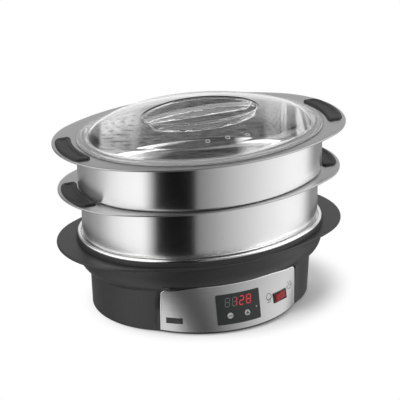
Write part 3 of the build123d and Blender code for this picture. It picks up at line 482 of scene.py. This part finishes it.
def makeTank():
    # over the basin's floor, up its inside, over the rolled rim to its foot, and down the basin's outside
    top, under = tankHigh.z, housingTop
    seat, reach = top - tank["seatDrop"], tank["floorReach"]
    sheet, floor, corner = tank["sheet"], tank["floor"], tank["corner"]
    bead, wall, roundOff = tank["bead"], tank["rimWall"], tank["round"]
    inside = bentProfile([(-reach, floor + sheet, 0), (0, floor + sheet, corner - sheet), (0, seat, 0)])
    rim = bentProfile([(-bead, seat, 0), (-bead, top, roundOff), (0, top, roundOff), (0, under, 0),
                       (-wall, under, 0), (-wall, seat - sheet, 0)], steps=8)
    outside = bentProfile([(sheet, seat - sheet, 0), (sheet, floor, corner), (-reach, floor, 0)])
    rows = ovalRows(*mouth["tank"], inside) + ovalRows(*rimSize, rim) + ovalRows(*mouth["tank"], outside)
    place(creaseByAngle(ringSurface("waterTank", rows, capped=True)), "base", "water_tank")


collarLip = {"gap": 0.25 * mm, "drop": 2.4 * mm, "top": 0.5 * mm, "foot": 1.8 * mm, "round": 0.2 * mm,
             "sink": 0.1 * mm}


def makeCollarLip():
    # low upstand of the housing that hugs the tank's rim: upright inside, narrow on top, steep outside
    foot, top = housingTop - collarLip["sink"], tankHigh.z - collarLip["drop"]
    gap, roundOff = collarLip["gap"], collarLip["round"]
    profile = bentProfile([(gap, foot, 0), (gap, top, roundOff), (gap + collarLip["top"], top, roundOff),
                           (collarLip["foot"], foot, 0)], steps=4)
    lip = ringSurface("collarLip", ovalRows(*rimSize, profile), loop=True)
    place(creaseByAngle(lip), "base", finish="charcoal_plastic")


makeTank()
makeCollarLip()
print("tank made")


# clear lid: crown, rounded shoulder, stepped rim, a recess with a grip bar across it, and a spigot

lid = {"dome": (303 * mm, 209 * mm), "lengthRadius": 525 * mm, "widthRadius": 325 * mm, "shoulder": 15 * mm,
       "sheet": 2.4 * mm, "wallShare": 0.92, "ridge": 1.1 * mm, "ridgeWidth": 7 * mm,
       "stepInset": 5.5 * mm, "stepHeight": 1.3 * mm, "stepRound": 1.2 * mm, "stepFoot": 0.05 * mm,
       "stepReach": 13 * mm, "hazeAbove": 0.1 * mm,
       "recess": (152 * mm, 84 * mm), "depth": 15 * mm, "bar": 13 * mm, "wall": 5.8 * mm, "deepFrom": 2.4,
       "spigotGap": 1.5 * mm, "spigotRound": 0.6 * mm, "spigotOverlap": 0.05 * mm, "spigotSeam": 0.1 * mm,
       "turns": 320, "crownRows": 44, "crownPacking": 1.4, "shoulderRows": 18, "wallRows": 15, "floorRows": 8,
       "barRows": 8, "slopeStep": 0.1 * mm, "weld": 0.02 * mm}
lidLow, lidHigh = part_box("lid")
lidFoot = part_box("upper_flange")[1].z
plateTop = lidFoot + lid["sheet"]
stepTop = plateTop + lid["stepHeight"]
lidTurn = fullTurn(lid["turns"])[None, :]
recessX, recessY = ovalPoints(*lid["recess"], 0, lidTurn)


def crownHeight(x, y):
    # barrel along the lid: its girth shrinks with x on a wide arc, and y falls away round that girth
    girth = lid["widthRadius"] - lid["lengthRadius"] + np.sqrt(lid["lengthRadius"]**2 - x**2)
    return lidHigh.z - lid["widthRadius"] + np.sqrt(girth**2 - y**2)


def shoulderPoints():
    # at each angle, an arc that leaves the crown along its slope and ends at the rim's step
    roundOff, step = lid["shoulder"], lid["slopeStep"]
    inset = [size - 2 * roundOff for size in lid["dome"]]
    x, y = ovalPoints(*inset, 0, lidTurn)
    fall = crownHeight(x, y) - crownHeight(x + step * np.cos(lidTurn), y + step * np.sin(lidTurn))
    slope = np.arctan(fall / step)
    startX, startY = ovalPoints(*inset, roundOff * np.sin(slope), lidTurn)
    centreZ = crownHeight(startX, startY) - roundOff * np.cos(slope)
    last = np.arccos(np.clip((stepTop - centreZ) / roundOff, 0, 1))
    sweep = slope + (last - slope) * np.linspace(0, 1, lid["shoulderRows"])[:, None]
    x, y = ovalPoints(*inset, roundOff * np.sin(sweep), lidTurn)
    return np.stack([x, y, centreZ + roundOff * np.cos(sweep)], -1)


def crownPoints(endX, endY):
    # ovals that pass from the recess's edge to the shoulder, with a low ridge round the recess
    share = np.linspace(0, 1, lid["crownRows"])[:, None]**lid["crownPacking"]
    x, y = recessX + share * (endX - recessX), recessY + share * (endY - recessY)
    away = np.hypot(x - recessX, y - recessY)
    ridge = lid["ridge"] * np.sin(np.pi * np.clip(away / lid["ridgeWidth"], 0, 1))**2
    return np.stack([x, y, crownHeight(x, y) + ridge], -1)


def rimPoints():
    # out over the step, down it, out over the rim plate and down its edge
    inset, roundOff = lid["stepInset"], lid["stepRound"]
    steps = bentProfile([(-lid["stepReach"], stepTop, 0), (-inset, stepTop, roundOff),
                         (-inset, plateTop, lid["stepFoot"]), (0, plateTop, roundOff), (0, lidFoot, 0)])
    return ovalGrid(ovalRows(lidHigh.x - lidLow.x, lidHigh.y - lidLow.y, steps), lidTurn)


def recessPoints():
    # lines across the recess: down a wall from its rear edge, over the floor, up over the bar and so on
    halfTurns = lid["turns"] // 2 + 1
    edgeX, edgeY = recessX[0, :halfTurns], np.abs(recessY[0, :halfTurns])
    halfBar = np.minimum(lid["bar"] / 2, edgeY)
    room = edgeY - halfBar
    wall = np.minimum(lid["wall"], room / 2)
    deep = ease(room / (lid["deepFrom"] * lid["wall"]))
    down = np.linspace(0, 1, lid["wallRows"])[:, None]
    over = np.linspace(0, 1, lid["floorRows"])[1:-1, None]
    onBar = np.linspace(1, 0, lid["barRows"])[1:, None]
    y = np.concatenate([edgeY - wall * down, edgeY - wall - (room - 2 * wall) * over,
                        halfBar + wall * (1 - down), halfBar * onBar])
    sunk = deep * np.concatenate([ease(down), np.ones_like(over), ease(1 - down), np.zeros_like(onBar)])
    y, sunk = np.concatenate([y, -y[-2::-1]]), np.concatenate([sunk, sunk[-2::-1]])
    x = np.broadcast_to(edgeX, y.shape)
    onCrown = crownHeight(x, y)
    return np.stack([x, y, onCrown + sunk * (lidHigh.z - lid["depth"] - onCrown)], -1)


def makeLid():
    # one skin from the recess's edge out to the rim, the recess welded into it, and a wall grown inwards
    shoulder, recess = shoulderPoints(), recessPoints()
    skin = np.concatenate([crownPoints(shoulder[:1, :, 0], shoulder[:1, :, 1]), shoulder[1:], rimPoints()])
    skinQuads = gridFaces(*skin.shape[:2], False, True)
    recessQuads = gridFaces(*recess.shape[:2], False, False)[:, ::-1] + skin.shape[0] * skin.shape[1]
    points = np.concatenate([skin.reshape(-1, 3), recess.reshape(-1, 3)])
    piece = meshFrom("clearLid", points, np.concatenate([skinQuads, recessQuads]))
    weld(piece, lid["weld"], turnFaces=True)
    if piece.data.polygons[0].normal.z < 0:
        piece.data.flip_normals()
    wall = piece.modifiers.new("wall", "SOLIDIFY")
    wall.thickness = lid["sheet"] * lid["wallShare"]
    wall.offset = -1
    place(piece, "lid", "lid")
    piece.data.materials.append(hazyRim)
    middles = np.empty((len(piece.data.polygons), 3), np.float32)
    piece.data.polygons.foreach_get("center", middles.ravel())
    hazy = middles[:, 2] < stepTop + lid["hazeAbove"]
    piece.data.polygons.foreach_set("material_index", hazy.astype(np.int32))


def makeLidSpigot():
    # ring under the rim that keeps the lid in the tray's mouth
    outer = -lid["spigotGap"]
    inner, roundOff = outer - lid["sheet"], lid["spigotRound"]
    top, bottom = lidFoot + lid["spigotOverlap"], lidLow.z
    profile = bentProfile([(inner, top, 0), (outer, top, 0), (outer, bottom, roundOff),
                           (inner, bottom, roundOff), (inner, top - lid["spigotSeam"], 0)])
    ring = ringSurface("lidSpigot", ovalRows(*mouth["upper"], profile), loop=True)
    place(creaseByAngle(ring), "lid", finish="clear_lid")


makeLid()
makeLidSpigot()
print("lid made")


# steam vents: small rings on the lid's shoulder

vent = {"x": (-27.5 * mm, 0, 27.5 * mm), "y": -84 * mm, "radius": 2.6 * mm, "tube": 0.7 * mm,
        "turns": 36, "sides": 14}


def makeVent(name, x, y):
    # small circle carried round a larger one that lies on the crown
    turn, roll = fullTurn(vent["turns"])[:, None], fullTurn(vent["sides"])[None, :]
    reach = vent["radius"] + vent["tube"] * np.cos(roll)
    ringX, ringY = x + reach * np.cos(turn), y + reach * np.sin(turn)
    points = np.stack([ringX, ringY, crownHeight(ringX, ringY) + vent["tube"] * np.sin(roll)], -1)
    ring = meshFrom(name, points, gridFaces(vent["turns"], vent["sides"], True, True))
    place(ring, "lid", finish="clear_lid", material=frostedRing)


for number, x in enumerate(vent["x"]):
    makeVent(f"steamVent{number + 1}", x, vent["y"])
print("vents made")


# smooth copies of moulded CAD nodes, with the body that each rides on

moulding = {"base_housing": "base", "base_plate": "base", "fascia_plate": "base", "display_window": "base",
            "rocker_case": "base", "cord_gland": "base", "minus_button": "minus_button",
            "plus_button": "plus_button", "rocker_paddle": "rocker"}
mouldingCrease = {"rocker_paddle": 6}  # its two faces meet at a small angle
usualCrease = 32  # degrees


def smoothCopy(node, body, crease):
    mesh = nodes[node].data.copy()
    piece = weld(addObject(camelName(node) + "Smooth", mesh))
    mesh.polygons.foreach_set("use_smooth", np.ones(len(mesh.polygons), bool))
    creaseByAngle(piece, crease)
    normals = piece.modifiers.new("evenNormals", "WEIGHTED_NORMAL")
    normals.keep_sharp = True
    place(piece, body, node)


for node, body in moulding.items():
    smoothCopy(node, body, mouldingCrease.get(node, usualCrease))
print("mouldings smoothed")


# marks on the console, drawn on the front elevation and laid on its face

console = {"low": (5 * mm, 126.2 * mm, 134.82 * mm), "high": (64 * mm, 110.27 * mm, 204.26 * mm),
           "halfWidth": 101 * mm, "plate": 1.0 * mm, "window": 1.2 * mm, "button": 1.9 * mm, "steps": 5}


def onConsole(x, z, lift):
    # ruled face: straight lines join equal shares of a lower and an upper arc, each given by its height,
    # reach and radius, and Newton steps find the share that lies at x
    x, z, lift = np.broadcast_arrays(x, z, lift)
    (lowZ, lowReach, lowRadius), (highZ, highReach, highRadius) = console["low"], console["high"]
    half = console["halfWidth"]
    up = (z - lowZ) / (highZ - lowZ)
    lowArc, highArc = lowRadius + lift, highRadius + lift
    lowTurn, highTurn = np.arcsin(half / lowArc), np.arcsin(half / highArc)
    share = x / half
    for step in range(console["steps"]):
        lowAngle, highAngle = share * lowTurn, share * highTurn
        miss = (1 - up) * lowArc * np.sin(lowAngle) + up * highArc * np.sin(highAngle) - x
        slope = (1 - up) * lowArc * lowTurn * np.cos(lowAngle) + up * highArc * highTurn * np.cos(highAngle)
        share = share - miss / slope
    y = (1 - up) * (lowRadius - lowReach - lowArc * np.cos(share * lowTurn))
    y = y + up * (highRadius - highReach - highArc * np.cos(share * highTurn))
    return np.stack([x, y, z], -1)


def platesOnConsole(name, outlines, lift, thickness, material, body="base"):
    # each outline of (x, z) points becomes a thin plate with a front, a back and walls
    outlines = np.asarray(outlines, float)
    count, sides = len(outlines), outlines.shape[1]
    x, z = outlines[..., 0], outlines[..., 1]
    points = np.stack([onConsole(x, z, lift), onConsole(x, z, lift + thickness)], 1)
    first = 2 * sides * np.arange(count)[:, None]
    here, there = np.arange(sides), (np.arange(sides) + 1) % sides
    fronts, backs = first + sides + here, first + here[::-1]
    walls = np.stack([here, there, there + sides, here + sides], -1)
    walls = (first[:, :, None] + walls[None]).reshape(-1, 4)
    piece = meshFrom(name, points, walls, fronts.tolist() + backs.tolist(), smooth=False)
    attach(piece, body)
    piece.data.materials.append(material)


digits = {"height": 10.6 * mm, "width": 5.7 * mm, "stroke": 1.2 * mm, "gap": 0.2 * mm, "pitch": 9.9 * mm,
          "slant": 0.12, "middleX": 0.6 * mm, "middleZ": 40.6 * mm, "lit": ("", "bc", "abged", "abcdefg"),
          "litThickness": 0.06 * mm, "dimThickness": 0.04 * mm, "dimShown": 2}


def segmentBar(reach):
    # six-sided bar with pointed ends
    half = digits["stroke"] / 2
    return np.array([(-reach, 0), (-reach + half, -half), (reach - half, -half), (reach, 0),
                     (reach - half, half), (-reach + half, half)])


def segmentOutlines(middleX, names):
    # upright segments are the flat bar turned, and all of them lean with the slant
    halfW, halfH = digits["width"] / 2, digits["height"] / 2
    centres = {"a": (0, halfH), "g": (0, 0), "d": (0, -halfH), "b": (halfW, halfH / 2),
               "c": (halfW, -halfH / 2), "f": (-halfW, halfH / 2), "e": (-halfW, -halfH / 2)}
    flat = segmentBar(halfW - digits["gap"])
    upright = segmentBar(halfH / 2 - digits["gap"])[::-1, ::-1]
    outlines = np.array([(flat if name in "agd" else upright) + centres[name] for name in names])
    outlines[..., 0] += outlines[..., 1] * digits["slant"]
    return outlines + (middleX, digits["middleZ"])


def makeDigits():
    litOutlines, dimOutlines = [], []
    for number, lit in enumerate(digits["lit"]):
        middleX = digits["middleX"] + (number - (len(digits["lit"]) - 1) / 2) * digits["pitch"]
        unlit = "".join(name for name in "abcdefg" if name not in lit)
        if lit:
            litOutlines.append(segmentOutlines(middleX, lit))
        if unlit and number < digits["dimShown"]:
            dimOutlines.append(segmentOutlines(middleX, unlit))
    platesOnConsole("litDigits", np.concatenate(litOutlines), console["window"], digits["litThickness"],
                    litRed)
    platesOnConsole("dimDigits", np.concatenate(dimOutlines), console["window"], digits["dimThickness"],
                    dimSegment)


sign = {"reach": 2.3 * mm, "stroke": 1.1 * mm, "x": 12 * mm, "z": 23.7 * mm, "thickness": 0.06 * mm}


def makeSigns():
    # the minus sign is a strip, and the plus sign is three corners turned by four quarters
    arm, thin = sign["reach"], sign["stroke"] / 2
    minus = np.array([(-arm, -thin), (arm, -thin), (arm, thin), (-arm, thin)]) + (-sign["x"], sign["z"])
    corners = np.array([(arm, thin), (thin, thin), (thin, arm)])
    quarterTurn = np.array([(0, 1), (-1, 0)])
    plus = np.concatenate([corners @ np.linalg.matrix_power(quarterTurn, number) for number in range(4)])
    plus = plus + (sign["x"], sign["z"])
    platesOnConsole("minusSign", [minus], console["button"], sign["thickness"], plainPlate, "minus_button")
    platesOnConsole("plusSign", [plus], console["button"], sign["thickness"], plainPlate, "plus_button")


def arcPoints(half, turn, middle=(0, 0)):
    # points of an ellipse with the half widths (x, z) round a middle
    return np.stack([half[0] * np.cos(turn), half[1] * np.sin(turn)], -1) + middle


badge = {"x": (-89 * mm, -71 * mm), "z": (16 * mm, 23.6 * mm), "thickness": 0.25 * mm, "columns": 13}
dot = {"at": (26 * mm, 28.7 * mm), "radius": 0.8 * mm, "thickness": 0.1 * mm, "sides": 20}


def makeBadgeAndDot():
    # the plate's long sides have points enough to follow the face
    left, right = badge["x"]
    share = np.linspace(0, 1, badge["columns"])
    x = np.concatenate([left + share * (right - left), right - share * (right - left)])
    plate = np.stack([x, np.repeat(badge["z"], badge["columns"])], -1)
    platesOnConsole("barePlate", [plate], console["plate"], badge["thickness"], plainPlate)
    circle = arcPoints((dot["radius"], dot["radius"]), fullTurn(dot["sides"]), dot["at"])
    platesOnConsole("indicatorDot", [circle], console["window"], dot["thickness"], paleDot)


def alongConsole(name, strokes, aside, lift):
    # profile of (aside, lift) carried along each path of (x, z) points on the console's face; an open path
    # gets two caps
    points, quads, caps, start = [], [], [], 0
    for path, closed in strokes:
        ahead = np.roll(path, -1, 0) - np.roll(path, 1, 0) if closed else np.gradient(path, axis=0)
        across = np.stack([ahead[:, 1], -ahead[:, 0]], -1) / np.linalg.norm(ahead, axis=1, keepdims=True)
        spot = path[:, None, :] + across[:, None, :] * np.asarray(aside)[None, :, None]
        points.append(onConsole(spot[..., 0], spot[..., 1], np.asarray(lift)[None, :]).reshape(-1, 3))
        quads.append(gridFaces(len(path), len(aside), closed, True)[:, ::-1] + start)
        ring = np.arange(len(aside)) + start
        caps += [] if closed else [ring[::-1], ring + len(aside) * (len(path) - 1)]
        start += len(path) * len(aside)
    return creaseByAngle(meshFrom(name, np.concatenate(points), np.concatenate(quads), caps))


border = {"halfWidth": 95 * mm, "low": 6.2 * mm, "high": 63.4 * mm, "corner": 7 * mm, "drop": 2.8 * mm,
          "dropStart": 52 * mm, "sideSteps": 24, "cornerSteps": 12, "topSteps": 40,
          "bead": 0.7 * mm, "beadHeight": 0.3 * mm, "beadSink": 0.02 * mm, "beadSteps": 9,
          "bezel": 3.4 * mm, "bezelHeight": 1.45 * mm, "bezelSink": 0.2 * mm,
          "outerBevel": (0.5 * mm, 0.2 * mm), "innerBevel": (0.3 * mm, 0.3 * mm)}


def plateOutline():
    # up the left side, round the corner, over the top, which dips towards its ends, and the same mirrored
    reach, corner, dropStart = border["halfWidth"], border["corner"], border["dropStart"]
    quarter = np.linspace(0, np.pi / 2, border["cornerSteps"])
    middleX = np.linspace(corner - reach, 0, border["topSteps"])
    topZ = border["high"] - border["drop"] * ease((-middleX - dropStart) / (reach - corner - dropStart))
    upZ = np.linspace(border["low"], topZ[0] - corner, border["sideSteps"])[:-1]
    left = np.stack([np.full_like(upZ, -reach), upZ], -1)
    arcX, arcZ = corner * (1 - np.cos(quarter)) - reach, corner * np.sin(quarter) + topZ[0] - corner
    half = np.concatenate([left, np.stack([arcX, arcZ], -1), np.stack([middleX, topZ], -1)[1:]])
    return np.concatenate([half, half[-2::-1] * (-1, 1)])


def makeBorder():
    # a bright half-round bead on the plate's edge, and a dark bezel with two bevels outside it
    outline = [(plateOutline(), False)]
    roll = np.linspace(0, np.pi, border["beadSteps"])
    beadLift = console["plate"] + border["beadHeight"] * np.sin(roll) - border["beadSink"]
    edge = alongConsole("fasciaEdge", outline, border["bead"] * (1 - np.cos(roll)), beadLift)
    place(edge, "base", finish="brushed_fascia", material=brightInside)
    wide, top, foot = border["bezel"], border["bezelHeight"], -border["bezelSink"]
    (outerIn, outerDown), (innerIn, innerDown) = border["outerBevel"], border["innerBevel"]
    bezel = alongConsole("fasciaBezel", outline, [-wide, outerIn - wide, -innerIn, 0, 0],
                         [foot, top - outerDown, top, top - innerDown, foot])
    place(bezel, "base", finish="charcoal_plastic")


icon = {"stroke": 0.62 * mm, "ink": 0.04 * mm, "size": 1.4,
        "eggAt": (46.6 * mm, 33.4 * mm), "egg": (2.7 * mm, 2.8 * mm), "eggLift": 1.3 * mm, "eggTaper": 0.14,
        "cup": (2.9 * mm, 2.4 * mm), "cupLift": 0.5 * mm,
        "foot": ((-0.5 * mm, -1.9 * mm), (-2.1 * mm, -4.1 * mm), (-0.7 * mm, -4.1 * mm)),
        "potAt": (84 * mm, 37 * mm), "pot": (3.6 * mm, 3.0 * mm), "steam": (1 * mm, 4.2 * mm),
        "steamSway": 0.6 * mm, "steamAside": 1.5 * mm,
        "eggSteps": 40, "cupSteps": 18, "potSteps": 24, "brimSteps": 12, "steamSteps": 16}


def makeIcon(name, strokes, at):
    placed = [(path * icon["size"] + at, closed) for path, closed in strokes]
    halfStroke = icon["stroke"] * icon["size"] / 2
    aside = halfStroke * np.array([-1, -1, 1, 1])
    lift = console["plate"] + icon["ink"] * np.array([0, 1, 1, 0])
    place(alongConsole(name, placed, aside, lift), "base", finish="brushed_fascia", material=printedGrey)


def makeIcons():
    # an egg that narrows upwards, in a cup on a foot, and a pot with a brim under two wisps of steam
    turn = fullTurn(icon["eggSteps"])
    egg = arcPoints(icon["egg"], turn, (0, icon["eggLift"]))
    egg[:, 0] *= 1 - icon["eggTaper"] * np.sin(turn)
    cup = arcPoints(icon["cup"], np.linspace(np.pi, 2 * np.pi, icon["cupSteps"]), (0, icon["cupLift"]))
    halfFoot = np.array(icon["foot"])
    foot = np.concatenate([halfFoot, halfFoot[::-1] * (-1, 1)])
    bowl = arcPoints(icon["pot"], np.linspace(np.pi, 2 * np.pi, icon["potSteps"]))
    brim = np.linspace(icon["pot"][0], -icon["pot"][0], icon["brimSteps"])[1:-1]
    pot = np.concatenate([bowl, np.stack([brim, 0 * brim], -1)])
    wisp = np.linspace(0, 2 * np.pi, icon["steamSteps"])
    steam = np.stack([icon["steamSway"] * np.sin(wisp), np.linspace(*icon["steam"], icon["steamSteps"])], -1)
    aside = np.array([icon["steamAside"], 0])
    makeIcon("eggMark", ((egg, True), (cup, False), (foot, True)), icon["eggAt"])
    makeIcon("potMark", ((pot, True), (steam - aside, False), (steam + aside, False)), icon["potAt"])


makeDigits()
makeSigns()
makeBadgeAndDot()
makeBorder()
makeIcons()
print("console marks made")


# studio: floor, lamps, world and camera

def calc(tree, operation, first, second):
    return addNode(tree, "Math", {0: first, 1: second}, operation=operation).outputs["Value"]


def smoothRange(tree, value, fromRange, toRange=(0.0, 1.0)):
    # smooth step from the first of toRange to the second while the value crosses fromRange
    ends = {"From Min": fromRange[0], "From Max": fromRange[1], "To Min": toRange[0], "To Max": toRange[1]}
    step = addNode(tree, "MapRange", {"Value": value, **ends}, interpolation_type="SMOOTHSTEP")
    return step.outputs["Result"]


def mixShaders(tree, share, first, second):
    return addNode(tree, "MixShader", {"Fac": share, 1: first, 2: second}).outputs["Shader"]


ground = {"reach": 20.0, "tone": 0.97, "near": 0.72, "white": 0.04, "fade": (0.19, 0.157), "shift": 0.026}


def makeFloorPlane():
    # pale floor that takes the shadow near the foot and fades to white over an oval
    corners = np.array([(-1, -1, 0), (1, -1, 0), (1, 1, 0), (-1, 1, 0)]) * ground["reach"]
    floor = meshFrom("studioFloor", corners, np.array([(0, 1, 2, 3)]))
    material = bpy.data.materials.new("paleFloor")
    material.use_nodes = True
    tree = material.node_tree
    tree.nodes.clear()
    pale = addNode(tree, "BsdfDiffuse", {"Color": grey(ground["tone"])}).outputs["BSDF"]
    white = addNode(tree, "Emission").outputs["Emission"]
    rays = addNode(tree, "LightPath").outputs
    where = addNode(tree, "TexCoord").outputs["Object"]
    fadeX, fadeY = ground["fade"]
    oval = addNode(tree, "Mapping", {"Vector": where, "Scale": (1 / fadeX, 1 / fadeY, 1),
                                     "Location": (-ground["shift"] / fadeX, 0, 0)}).outputs["Vector"]
    away = addNode(tree, "VectorMath", {0: oval}, operation="LENGTH").outputs["Value"]
    paling = smoothRange(tree, away, (ground["near"], 1.0), (ground["white"], 1.0))
    seen = calc(tree, "MAXIMUM", rays["Is Camera Ray"], rays["Is Transmission Ray"])
    mixed = mixShaders(tree, calc(tree, "MULTIPLY", seen, paling), pale, white)
    addNode(tree, "OutputMaterial", {"Surface": mixed})
    floor.data.materials.append(material)
    floor.visible_glossy = False  # metal shows the studio round the floor


lampAim = (0, 0, 0.13)
lamps = {"keyLamp": {"spot": (-1.5, -0.5, 1.3), "size": (0.9, 0.9), "power": 18},
         "fillLamp": {"spot": (1.5, -1.2, 1.2), "size": (1.0, 0.8), "power": 7},
         "rearLamp": {"spot": (0.6, 1.5, 1.4), "size": (1.6, 0.7), "power": 13}}


def makeLamp(name, spot, size, power):
    lamp = bpy.data.lights.new(name, "AREA")
    lamp.shape = "RECTANGLE"
    lamp.size, lamp.size_y = size
    lamp.energy = power
    holder = addObject(name, lamp)
    holder.location = spot
    holder.rotation_mode = "QUATERNION"
    holder.rotation_quaternion = (Vector(lampAim) - Vector(spot)).to_track_quat("-Z", "Y")
    holder.visible_glossy = holder.visible_transmission = False  # metal and glass show the studio instead


# strengths at compass angles, of the walls, of what is above them and of a glow; the ranges are heights
studio = {"soft": 0.46,
          "walls": ((-180, 0.84), (-160, 1.0), (-134, 1.05), (-124, 0.004), (-96.5, 0.004), (-95, 0.2),
                    (-60, 0.62), (-20, 1.0), (2, 1.08), (5, 0.30), (60, 0.24), (120, 0.27), (150, 0.42),
                    (180, 0.84)),
          "upper": ((-180, 1.9), (-150, 1.9), (-128, 1.7), (-118, 0.01), (-50, 0.01), (-43, 2.4), (5, 2.0),
                    (30, 0.2), (122, 0.2), (136, 1.7), (180, 1.9)),
          "upperRange": (0.25, 0.42),
          "glow": ((-180, 0.0), (0, 0.0), (20, 0.9), (85, 0.9), (100, 0.06), (122, 0.06), (140, 0.5),
                   (180, 0.0)),
          "glowRise": (-0.22, -0.06), "glowFall": (0.6, 0.4), "glowTone": 0.9}


def angleRamp(tree, angle, stops):
    # ramp over the compass angle, -180 to 180 degrees
    ramp = addNode(tree, "ValToRGB", {"Fac": angle})
    marks = ramp.color_ramp.elements
    while len(marks) < len(stops):
        marks.new(0.5)
    for mark, (azimuth, shade) in zip(marks, stops):
        mark.position = (azimuth + 180) / 360
        mark.color = grey(shade)
    return ramp.outputs["Color"]


def blend(tree, share, first, second):
    inputs = {"Factor": share, "A": first, "B": second}
    return addNode(tree, "Mix", inputs, data_type="RGBA").outputs["Result"]


def makeWorld():
    # camera rays see white, reflections and glass see a ring of soft walls, and the rest is an even light
    world = bpy.data.worlds.new("softStudio")
    bpy.context.scene.world = world
    world.use_nodes = True
    tree = world.node_tree
    tree.nodes.clear()
    where = addNode(tree, "TexCoord").outputs["Generated"]
    angle = addNode(tree, "TexGradient", {"Vector": where}, gradient_type="RADIAL").outputs["Fac"]
    height = addNode(tree, "SeparateXYZ", {"Vector": where}).outputs["Z"]
    walls, upper, glow = (angleRamp(tree, angle, studio[key]) for key in ("walls", "upper", "glow"))
    room = blend(tree, smoothRange(tree, height, studio["upperRange"]), walls, upper)
    for heights in (studio["glowRise"], studio["glowFall"]):
        glow = calc(tree, "MULTIPLY", glow, smoothRange(tree, height, heights))
    room = blend(tree, glow, room, grey(studio["glowTone"]))
    softLight, mirrored, white = (addNode(tree, "Background", {"Color": colour}).outputs["Background"]
                                  for colour in (grey(studio["soft"]), room, grey(1)))
    rays = addNode(tree, "LightPath").outputs
    bounced = calc(tree, "MAXIMUM", rays["Is Glossy Ray"], rays["Is Transmission Ray"])
    lit = mixShaders(tree, bounced, softLight, mirrored)
    addNode(tree, "OutputWorld", {"Surface": mixShaders(tree, rays["Is Camera Ray"], lit, white)})


view = {"azimuth": -23.69, "elevation": 23.2, "distance": 2.6153, "height": 0.1344, "lens": 180.0,
        "sensor": 36.0, "middlePixel": 200.7, "imageWidth": 400}


def makeCamera():
    # looks at a point on the upright axis, and its shift puts that axis on the middle pixel
    azimuth, elevation = np.radians([view["azimuth"], view["elevation"]])
    level = np.cos(elevation)
    back = Vector((np.sin(azimuth) * level, -np.cos(azimuth) * level, np.sin(elevation)))
    lens = bpy.data.cameras.new("photoCamera")
    lens.lens, lens.sensor_width = view["lens"], view["sensor"]
    lens.shift_x = (view["imageWidth"] / 2 - view["middlePixel"]) / view["imageWidth"]
    camera = addObject("photoCamera", lens)
    camera.location = Vector((0, 0, view["height"])) + back * view["distance"]
    camera.rotation_mode = "QUATERNION"
    camera.rotation_quaternion = (-back).to_track_quat("-Z", "Y")
    bpy.context.scene.camera = camera


makeFloorPlane()
for name, look in lamps.items():
    makeLamp(name, **look)
makeWorld()
makeCamera()
bpy.context.scene.view_settings.view_transform = "Standard"
print("studio set")
